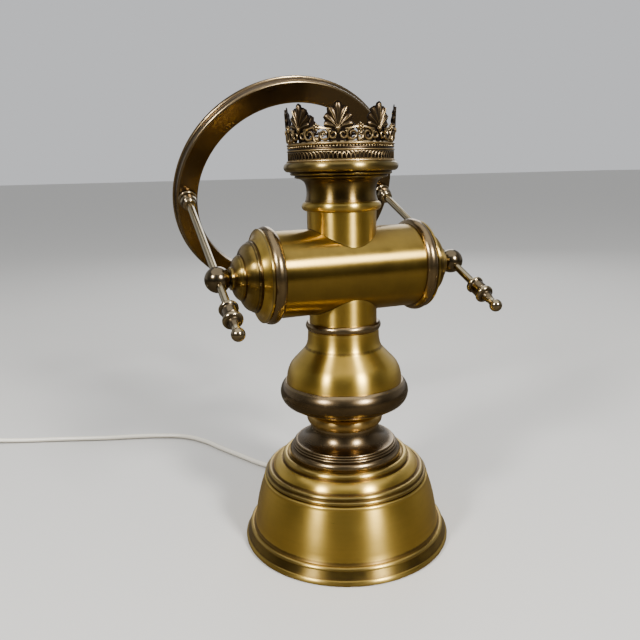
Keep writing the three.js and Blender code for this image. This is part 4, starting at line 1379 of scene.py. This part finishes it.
@dataclass
class Crown:
    """The stamped crown: a lattice border, beads, and palmettes between open scrolls."""

    radius: float = 38.4
    height: float = 37.6
    wall: float = 1.2
    count: int = 8
    arches: int = 80
    beads: int = 104
    band_top: float = 12.6
    root: float = 20.6  # height of the palmettes' root
    start: float = math.radians(-3.5)  # where the first rosette comes round the crown
    flare: float = 0.9  # how far the leaves' tips lean out
    sunk: float = 0.9  # how far the dark sheet lies behind the relief
    lobes: tuple[tuple[float, float, float], ...] = (
        (0, 17.0, 2.3), (24, 15.4, 2.2), (48, 13.2, 2.05), (73, 11.0, 1.8),
    )  # angle from upright in degrees, length and half-width of each lobe

    def __post_init__(self) -> None:
        """Works out the width of one palmette."""
        self.pitch = FULL_TURN * self.radius / self.count

    def bend(self, bm: bmesh.types.BMesh, turn: float) -> bmesh.types.BMesh:
        """Wraps a flat relief round the crown.

        Args:
            bm: relief with x along the band, z up and y inwards, in metres.
            turn: where its middle comes round the crown, in radians.

        Returns:
            The same mesh, bent.
        """
        for vert in bm.verts:
            x, y, z = vert.co
            lean = self.flare * MM * max(0.0, z / (self.height * MM)) ** 2 - 0.5 * MM
            r = self.radius * MM - 0.9 * MM + lean - y
            angle = turn + x / (self.radius * MM)
            vert.co = (r * math.sin(angle), -r * math.cos(angle), z)
        return bm

    def stroke(self, points: Sequence[Point], thick: Sequence[float], proud: float = 0.0,
               sides: int = 6, front_wear_and_highlight: float = 0.6, flat: float = 1.0) -> bmesh.types.BMesh:
        """Sweeps one raised stroke of relief, its front bright with wear and painted highlight and
        its back dark with painted shade.

        Args:
            points: its way along the band, as (x, z) in millimetres.
            thick: its radius at each point.
            proud: how far its middle stands out of the band.
            sides: facets round it.
            front_wear_and_highlight: how bright its front is made, by wear and painted highlight,
                from 0 to 1.
            flat: its thickness as a share of its width.

        Returns:
            The flat relief.
        """
        path = [Vector((x * MM, -proud * MM, z * MM)) for x, z in points]
        bm = sweep_mesh(path, [t * MM for t in thick], sides)
        crest, widest = bm.verts.layers.float["crest"], max(thick) * MM
        # The front is made bright with wear and painted highlight, and the back, towards the sheet,
        # dark with painted shade.
        for vert in bm.verts:
            out = (-vert.co.y - proud * MM) / widest
            vert[crest] = max(-0.6, min(front_wear_and_highlight, front_wear_and_highlight * (1.6 * out - 0.4)))
            vert.co.y = -(proud + out * widest / MM * flat) * MM
        return bm

    def lobe_point(self, angle: float, reach: float, share: float) -> Point:
        """A point of a lobe's spine, which springs up from the root and bends outwards."""
        turn = math.radians(angle) * (0.78 + 0.22 * share)
        return reach * share * math.sin(turn), self.root + reach * share * math.cos(turn)

    def leaf(self) -> bmesh.types.BMesh:
        """Makes one flat palmette of seven ridged lobes over a diamond."""
        bm = blank_mesh()
        for angle, reach, width in self.lobes:
            for sign in ((1,) if angle == 0 else (-1, 1)):
                long = reach - width * 0.62
                shares = [i / 9 for i in range(10)]
                way = [self.lobe_point(angle, long, share) for share in shares]
                way = [(sign * x, z) for x, z in way]
                thick = [min(width, 0.3 + 0.205 * long * share) for share in shares]
                thick[-1] = width * 0.62
                join_mesh(bm, self.stroke(way, thick, 0.1, 8, 0.2, 0.5))
                # A ridge on each lobe, its front bright with wear and with painted highlight for
                # the lobe's lit side.
                ridge = [0.28 + 0.14 * share for share in shares]
                join_mesh(bm, self.stroke(way, ridge, 0.1 + width * 0.36, 5, 0.7))
        # Two diamonds, made bright with wear and painted highlight.
        for grow, lift, front_wear_and_highlight in ((1.0, 0.2, 0.35), (0.5, -0.5, 0.9)):
            wide, high_up = 2.1 * grow, 3.2 * grow
            plan = [(0, -high_up), (wide, 0), (0, high_up), (-wide, 0)]
            diamond = tint_mesh(prism_mesh(plan, 1.4, 0.4, 2), front_wear_and_highlight, 0.0)
            join_mesh(bm, move_mesh(diamond, shifted(0, lift, self.root) @ UPRIGHT))
        return bm

    def backing(self) -> bmesh.types.BMesh:
        """Makes the thin sheet behind one palmette, scalloped between its lobes, dark with patina
        and painted shade.
        """
        edge = []
        tips = [(a, reach + 0.2) for a, reach, _ in self.lobes]
        for (a, reach), (b, less) in zip(tips, tips[1:]):
            notch = ((a + b) / 2, (reach + less) / 2 - 2.0)
            edge += [(a + 7, reach - 0.9), notch, (b - 7, less - 0.7)]
        edge += [(tips[-1][0] + 8, tips[-1][1] - 1.2), (tips[-1][0] + 16, 6.0)]
        right = [self.lobe_point(angle, reach, 1.0) for angle, reach in [tips[0], *edge]]
        right += [(2.6, self.root - 1.6), (1.5, self.root - 3.4), (1.2, self.band_top - 0.4)]
        plan = right + [(-x, z) for x, z in reversed(right[1:])]
        # The whole sheet is darkened with patina and with painted shade for the recess behind the
        # relief.
        sheet = tint_mesh(prism_mesh(plan, self.wall * 0.7), -0.75, 0.9)
        move_mesh(sheet, shifted(0, self.sunk, 0) @ UPRIGHT)
        wide, cuts = max(x for x, _ in plan), 12
        for i in range(1, cuts):
            x = (-wide + 2 * wide * i / cuts) * MM
            parts = sheet.verts[:] + sheet.edges[:] + sheet.faces[:]
            bmesh.ops.bisect_plane(sheet, geom=parts, dist=WELD, plane_co=(x, 0, 0),
                                   plane_no=(1, 0, 0))
        return sheet

    def coil(self, centre: Point, radius: float, start: float, sweep: float) -> list[Point]:
        """Draws the centreline of a scroll that winds in on itself.

        Args:
            centre: the middle of the scroll, as (x, z) in millimetres.
            radius: its outer radius.
            start: the angle where it begins, in degrees.
            sweep: how far it turns, in degrees.

        Returns:
            The points of its way.
        """
        steps, found = 20, []
        for i in range(steps + 1):
            share = i / steps
            turn = math.radians(start + sweep * share)
            r = radius * (1 - 0.68 * share**1.6)
            found.append((centre[0] + r * math.cos(turn), centre[1] + r * math.sin(turn)))
        return found

    def scrolls(self) -> bmesh.types.BMesh:
        """Makes the open scrolls, rosette and bud that stand between two palmettes."""
        bm = blank_mesh()
        middle_x = self.pitch / 2
        for sign in (-1, 1):
            big = self.coil((middle_x - 5.6, 16.9), 3.7, 120, 430)
            small = self.coil((middle_x - 11.6, 17.0), 2.7, 60, -400)
            for way, wide in ((big, 1.0), (small, 0.8)):
                way = [(sign * (middle_x - x), z) for x, z in way]
                thick = [wide * (1 - 0.3 * i / len(way)) for i in range(len(way))]
                join_mesh(bm, self.stroke(way, thick, 0.35, 6, 0.75))
            sprig = [(sign * x, z) for x, z in ((0.6, 12.6), (1.6, 14.4), (2.3, 16.6), (1.5, 18.8))]
            join_mesh(bm, self.stroke(sprig, [1.0, 0.95, 0.8, 0.6], 0.3, 6, 0.6))
            # A plate behind each scroll, darkened with patina and with painted shade for the
            # recess.
            back = [(sign * (middle_x - 5.6 + 2.6 * math.cos(FULL_TURN * i / 14)),
                     16.4 + 3.6 * math.sin(FULL_TURN * i / 14)) for i in range(14)]
            plate = tint_mesh(prism_mesh(back, 0.8), -0.75, 0.9)
            join_mesh(bm, move_mesh(plate, shifted(0, self.sunk, 0) @ UPRIGHT))
            tie = [(sign * x, z) for x, z in ((1.6, 21.8), (4.4, 21.2), (7.4, 20.6), (10.6, 20.4))]
            join_mesh(bm, self.stroke(tie, [0.75, 0.9, 0.9, 0.7], 0.2, 6, 0.6))
        knobs = [(0, 21.6, 1.15, 0.8), (0, 14.0, 1.3, 0.6)]
        for i in range(6):
            turn = FULL_TURN * i / 6
            knobs.append((1.9 * math.sin(turn), 21.6 + 1.9 * math.cos(turn), 0.85, 0.45))
        # The knobs are made bright with wear and painted highlight.
        for x, z, size, front_wear_and_highlight in knobs:
            knob = blank_mesh()
            bmesh.ops.create_icosphere(knob, subdivisions=2, radius=size * MM)
            tint_mesh(knob, front_wear_and_highlight, 0.0)
            join_mesh(bm, move_mesh(knob, shifted(x, -0.4, z)))
        return bm

    def arch(self, width: float) -> bmesh.types.BMesh:
        """Makes one arch of the border, which crosses its two neighbours."""
        points = []
        for i in range(11):
            turn = math.pi * i / 10
            points.append((-width * math.cos(turn), 1.2 + 5.2 * math.sin(turn) ** 0.8))
        return self.stroke(points, [0.36] * len(points), 0.15, 5, 0.5)

    def band(self) -> bmesh.types.BMesh:
        """Spins the plain wall under the relief, with its rims and the beads' bed."""
        r, w = self.radius, self.wall
        outline = (
            Outline(r - w - 0.3, 0).shade(0.7).line(r - 0.2, 0).bead(r - 0.3, 1.1, 0.3, 5)
            .shade(0.9).line(r - 1.3, 1.3).line(r - 1.3, 6.8).shade(0.35).line(r - 1.0, 7.0)
            .bead(r - 1.0, 8.0, 0.6, 6).shade(0.8).line(r - 0.9, 8.3)
            .curve(r - 1.6, 9.8, r - 0.9, 11.1, 6).shade(0.35).bead(r - 1.0, 12.2, 0.6, 6)
            .shade(0.8).line(r - w - 0.7, self.band_top + 0.3).line(r - w - 0.7, 0.6).close()
        )
        return spin_mesh(outline, 192)

    def build(self) -> None:
        """Makes the whole crown as one stamped piece."""
        crown = self.band()
        for i in range(self.count):
            turn = self.start + FULL_TURN * i / self.count
            half_on = turn + FULL_TURN / (2 * self.count)
            join_mesh(crown, self.bend(self.scrolls(), turn))
            join_mesh(crown, self.bend(self.backing(), half_on))
            join_mesh(crown, self.bend(self.leaf(), half_on))
        width = FULL_TURN * self.radius / self.arches
        for i in range(self.arches):
            join_mesh(crown, self.bend(self.arch(width), FULL_TURN * i / self.arches))
        for i in range(self.beads):
            bead = blank_mesh()
            bmesh.ops.create_icosphere(bead, subdivisions=1, radius=0.86 * MM)
            # Each bead is bright all over, with wear and painted highlight.
            tint_mesh(bead, 0.55, 0.0)
            bmesh.ops.translate(bead, vec=(0, 0.1 * MM, 9.8 * MM), verts=bead.verts[:])
            join_mesh(crown, self.bend(bead, FULL_TURN * i / self.beads))
        bmesh.ops.translate(crown, vec=(0, 0, low("gallery_crown").z), verts=crown.verts[:])
        finish_piece("crown_relief", crown, STAND, ("gallery_crown",),
                     CROWN_PATINA.material(Way.STEM), math.radians(50))


@dataclass
class LampHolder:
    """The lamp holder inside the crown."""

    radius: float = 17.0
    height: float = 44.0
    floor: float = 12.0

    def build(self) -> None:
        """Makes the holder's cap, shell, liner and screw shell."""
        foot = low("holder_nut").z
        r, f, h = self.radius, self.floor, self.height
        cap = (
            Outline(5.2, 4.8).line(r - 4, 4.8).curve(r, 5.0, r, f - 1.6, 14).line(r + 0.2, f - 1.4)
            .line(r + 0.2, f).line(r - 1, f).curve(r - 1.2, 6.4, r - 4.4, 6, 8).line(5.2, 6).close()
        )
        turned_piece("holder_cap_skin", cap, standing(foot), HOLDER_BRASS, Way.STEM,
                     steps=96)
        shell = Outline(r - 0.9, f + 0.1).line(r, f + 0.1)
        for z in (f + 2.4, f + 5.2):
            shell.line(r, z).bead(r, z + 1.6, 0.35, 5)
        shell.line(r, h - 3).line(r - 0.4, h - 2.4).line(r, h - 1.8).line(r, h - 0.4)
        shell.line(r - 0.4, h).line(r - 0.9, h - 0.4).close()
        turned_piece("holder_shell_skin", shell, standing(foot), HOLDER_BRASS, Way.STEM,
                     steps=96)
        liner_r = r - 1.05
        liner = (
            Outline(3.4, f + 0.4).line(liner_r, f + 0.4).line(liner_r, h - 0.9)
            .line(liner_r - 0.4, h - 0.6).line(liner_r - 1.1, h - 0.6).line(liner_r - 1.4, h - 0.9)
            .line(liner_r - 1.4, f + 7).line(3.4, f + 7).close()
        )
        turned_piece("holder_liner_skin", liner, standing(foot), CERAMIC, Way.STEM,
                     steps=96)
        screw_r = liner_r - 1.6
        screw = Outline(screw_r - 0.9, f + 7.2).line(screw_r - 0.4, f + 7.2)
        z = f + 8.2
        while z < h - 5:
            screw.line(screw_r - 0.5, z).bead(screw_r - 0.5, z + 1.9, 0.45, 6)
            z += 3.6
        screw.line(screw_r, h - 3.4).line(screw_r, h - 3).line(screw_r - 0.9, h - 3.2).close()
        turned_piece("holder_screw_skin", screw, standing(foot), HOLDER_BRASS, Way.STEM,
                     nodes=("holder_screw_shell",), steps=96)
        contact = Outline(0, f + 7.2).line(4.6, f + 7.2).line(4.6, f + 7.8)
        contact.curve(3.6, f + 8.4, 0, f + 8.4)
        turned_piece("holder_contact_skin", contact, standing(foot), HOLDER_BRASS, Way.STEM,
                     steps=48)


@dataclass
class ShadeCarrier:
    """The tilting carrier: pivot balls, rods, finials, ferrules and the shade ring."""

    ball: float = 9.2
    rod: float = 2.8
    ring: float = 99.6
    bore: float = 80.0
    ring_height: float = 8.6
    rise: float = 122.6
    finial_start: float = 32.5
    finial_end: float = 66.0
    ferrule: float = 13.5
    face: float = field(init=False)  # from a ball's centre to its flat inner face
    ball_x: float = field(init=False)
    lean: float = field(init=False)

    def __post_init__(self) -> None:
        """Works out where the pivot balls stand and how far the rods lean in."""
        self.face = self.ball * math.sin(math.pi / 3)
        self.ball_x = high("right_end_cap").x * PER_METRE + 0.4 + self.face
        seat = (self.bore + self.ring - 2.2) / 2
        self.lean = math.atan2(self.ball_x - seat, self.rise)

    def arm(self, sign: int) -> Matrix:
        """Frame of one rod, with its Z axis up along the rod."""
        return (
            CARRIER_FRAME
            @ shifted(sign * self.ball_x, 0, 0)
            @ Matrix.Rotation(-sign * self.lean, 4, "Y")
        )

    def ring_outline(self) -> Outline:
        """Half-section of the channel ring."""
        b, wall, h, lip = self.bore, self.ring - 2.2, self.ring_height, self.ring
        return (
            Outline(b + 1.0, 0).line(wall - 2.2, 0).bead(wall, 2.0, 0.75, 8).line(wall, h - 3.1)
            .line(wall + 0.1, h - 2.7).bead(lip - 0.5, h - 0.5, -0.5, 6).bead(lip - 1.3, h, 0.35, 5)
            .line(wall - 1.4, h).line(wall - 1.4, 2.2).curve(wall - 1.5, 1.4, wall - 2.4, 1.4, 4)
            .line(b + 2.2, 1.4).curve(b + 1.4, 1.4, b + 1.4, 2.2, 4).line(b + 1.4, h - 1)
            .bead(b, h - 1, 0.5, 5).line(b, 1.0).curve(b, 0, b + 1.0, 0, 4).close()
        )

    def ferrule_outline(self) -> Outline:
        """Half-section of the ferrule between rod and ring."""
        r, top = self.rod + SLIP, self.ferrule - 0.3
        return (
            Outline(0, 5.2).line(r, 5.2).line(r, 0).line(r + 0.9, 0).bead(5.2, 2.2, 0.7, 6)
            .curve(6.5, 3.2, 6.6, 6.0, 8).bead(5.9, 7.6, 0.5, 5).line(5.0, 8.0).line(5.0, 8.8)
            .bead(5.0, 10.0, 0.6, 5).line(7.0, 10.3).bead(7.0, top - 0.6, 0.7, 6)
            .line(6.2, top).line(0, top)
        )

    def finial_outline(self) -> Outline:
        """Half-section of the hanging finial, drawn upright from its flange to its end ball."""
        r = self.rod + SLIP
        long = self.finial_end - self.finial_start
        ball = long - 4.3
        return (
            Outline(r, 0).line(5.4, 0).bead(5.6, 3.6, 1.2, 10).line(5.2, 3.9).line(5.0, 4.6)
            .line(5.5, 5.0).line(5.6, 10.8).line(5.2, 11.2).line(5.2, 11.9)
            .bead(5.0, 16.4, 1.8, 12).line(4.4, 16.8).curve(3.6, 17.6, 3.0, ball - 7.8, 8)
            .curve(2.5, ball - 6.4, 2.5, ball - 4.6, 6).line(2.4, ball - 4.1)
            .bead(0.02, long, 3.35, 18).line(0, long)
        )

    def build(self) -> None:
        """Makes the carrier, all of it riding on the carrier's body."""
        place = CARRIER_FRAME @ shifted(0, 0, self.rise)
        turned_piece("ring_skin", self.ring_outline(), place, DARK_BRONZE, Way.CARRIER,
                     CARRIER, ("shade_ring",), 320)
        reach = self.rise / math.cos(self.lean)
        foot = reach - self.ferrule - 0.3
        for side, sign in (("left", -1), ("right", 1)):
            arm = self.arm(sign)
            bm = bmesh.new()
            bmesh.ops.create_uvsphere(bm, u_segments=64, v_segments=40, radius=self.ball * MM)
            inward = Matrix.Rotation(sign * self.lean, 3, "Y") @ Vector((-sign, 0, 0))
            normal = inward.normalized()
            bmesh.ops.bisect_plane(bm, geom=bm.verts[:] + bm.edges[:] + bm.faces[:], dist=WELD,
                                   plane_co=normal * (self.face * MM), plane_no=normal,
                                   clear_outer=True)
            bmesh.ops.holes_fill(bm, edges=[e for e in bm.edges if e.is_boundary], sides=0)
            finish_piece(f"{side}_ball_skin", move_mesh(bm, arm), CARRIER, (f"{side}_ball",),
                         FITTING_BRASS.material(Way.CARRIER))
            rod = (
                Outline(0, -self.finial_end + 8).line(self.rod, -self.finial_end + 8)
                .line(self.rod, foot + 5).line(0, foot + 5)
            )
            turned_piece(f"{side}_rod_skin", rod, arm, PALE_BRASS, Way.CARRIER,
                         CARRIER, (f"{side}_rod",), 48)
            turned_piece(f"{side}_ferrule_skin", self.ferrule_outline(),
                         arm @ shifted(0, 0, foot), FITTING_BRASS, Way.CARRIER,
                         CARRIER, (f"{side}_ferrule",), 64)
            knob = arm @ shifted(0, 0, -self.finial_start)
            turned_piece(f"{side}_finial_skin", self.finial_outline(),
                         knob @ Matrix.Rotation(math.pi, 4, "X"), FITTING_BRASS, Way.CARRIER,
                         CARRIER, (f"{side}_finial",), 72)


def dress_kept_nodes() -> None:
    """Gives every CAD node that shows with its own shape its finish."""
    for node in ("base_nut", "base_washer", "threaded_rod", "holder_nut", "left_pivot_stud",
                 "right_pivot_stud", "left_spring_washer", "right_spring_washer",
                 "left_pivot_nut", "right_pivot_nut"):
        dress(node, ZINC_STEEL)
    dress("ballast_weight", CAST_IRON)
    dress("inner_lead", IVORY_PVC)


def main() -> None:
    """Builds the studio, the lead and every sub-assembly in order."""
    for part in (Studio(), MainsLead(), Base(), Stem(), CrossTube(), Gallery(), Crown(),
                 LampHolder(), ShadeCarrier()):
        LOG.info("building %s", type(part).__name__)
        part.build()
    dress_kept_nodes()


if __name__ == "__main__":
    main()
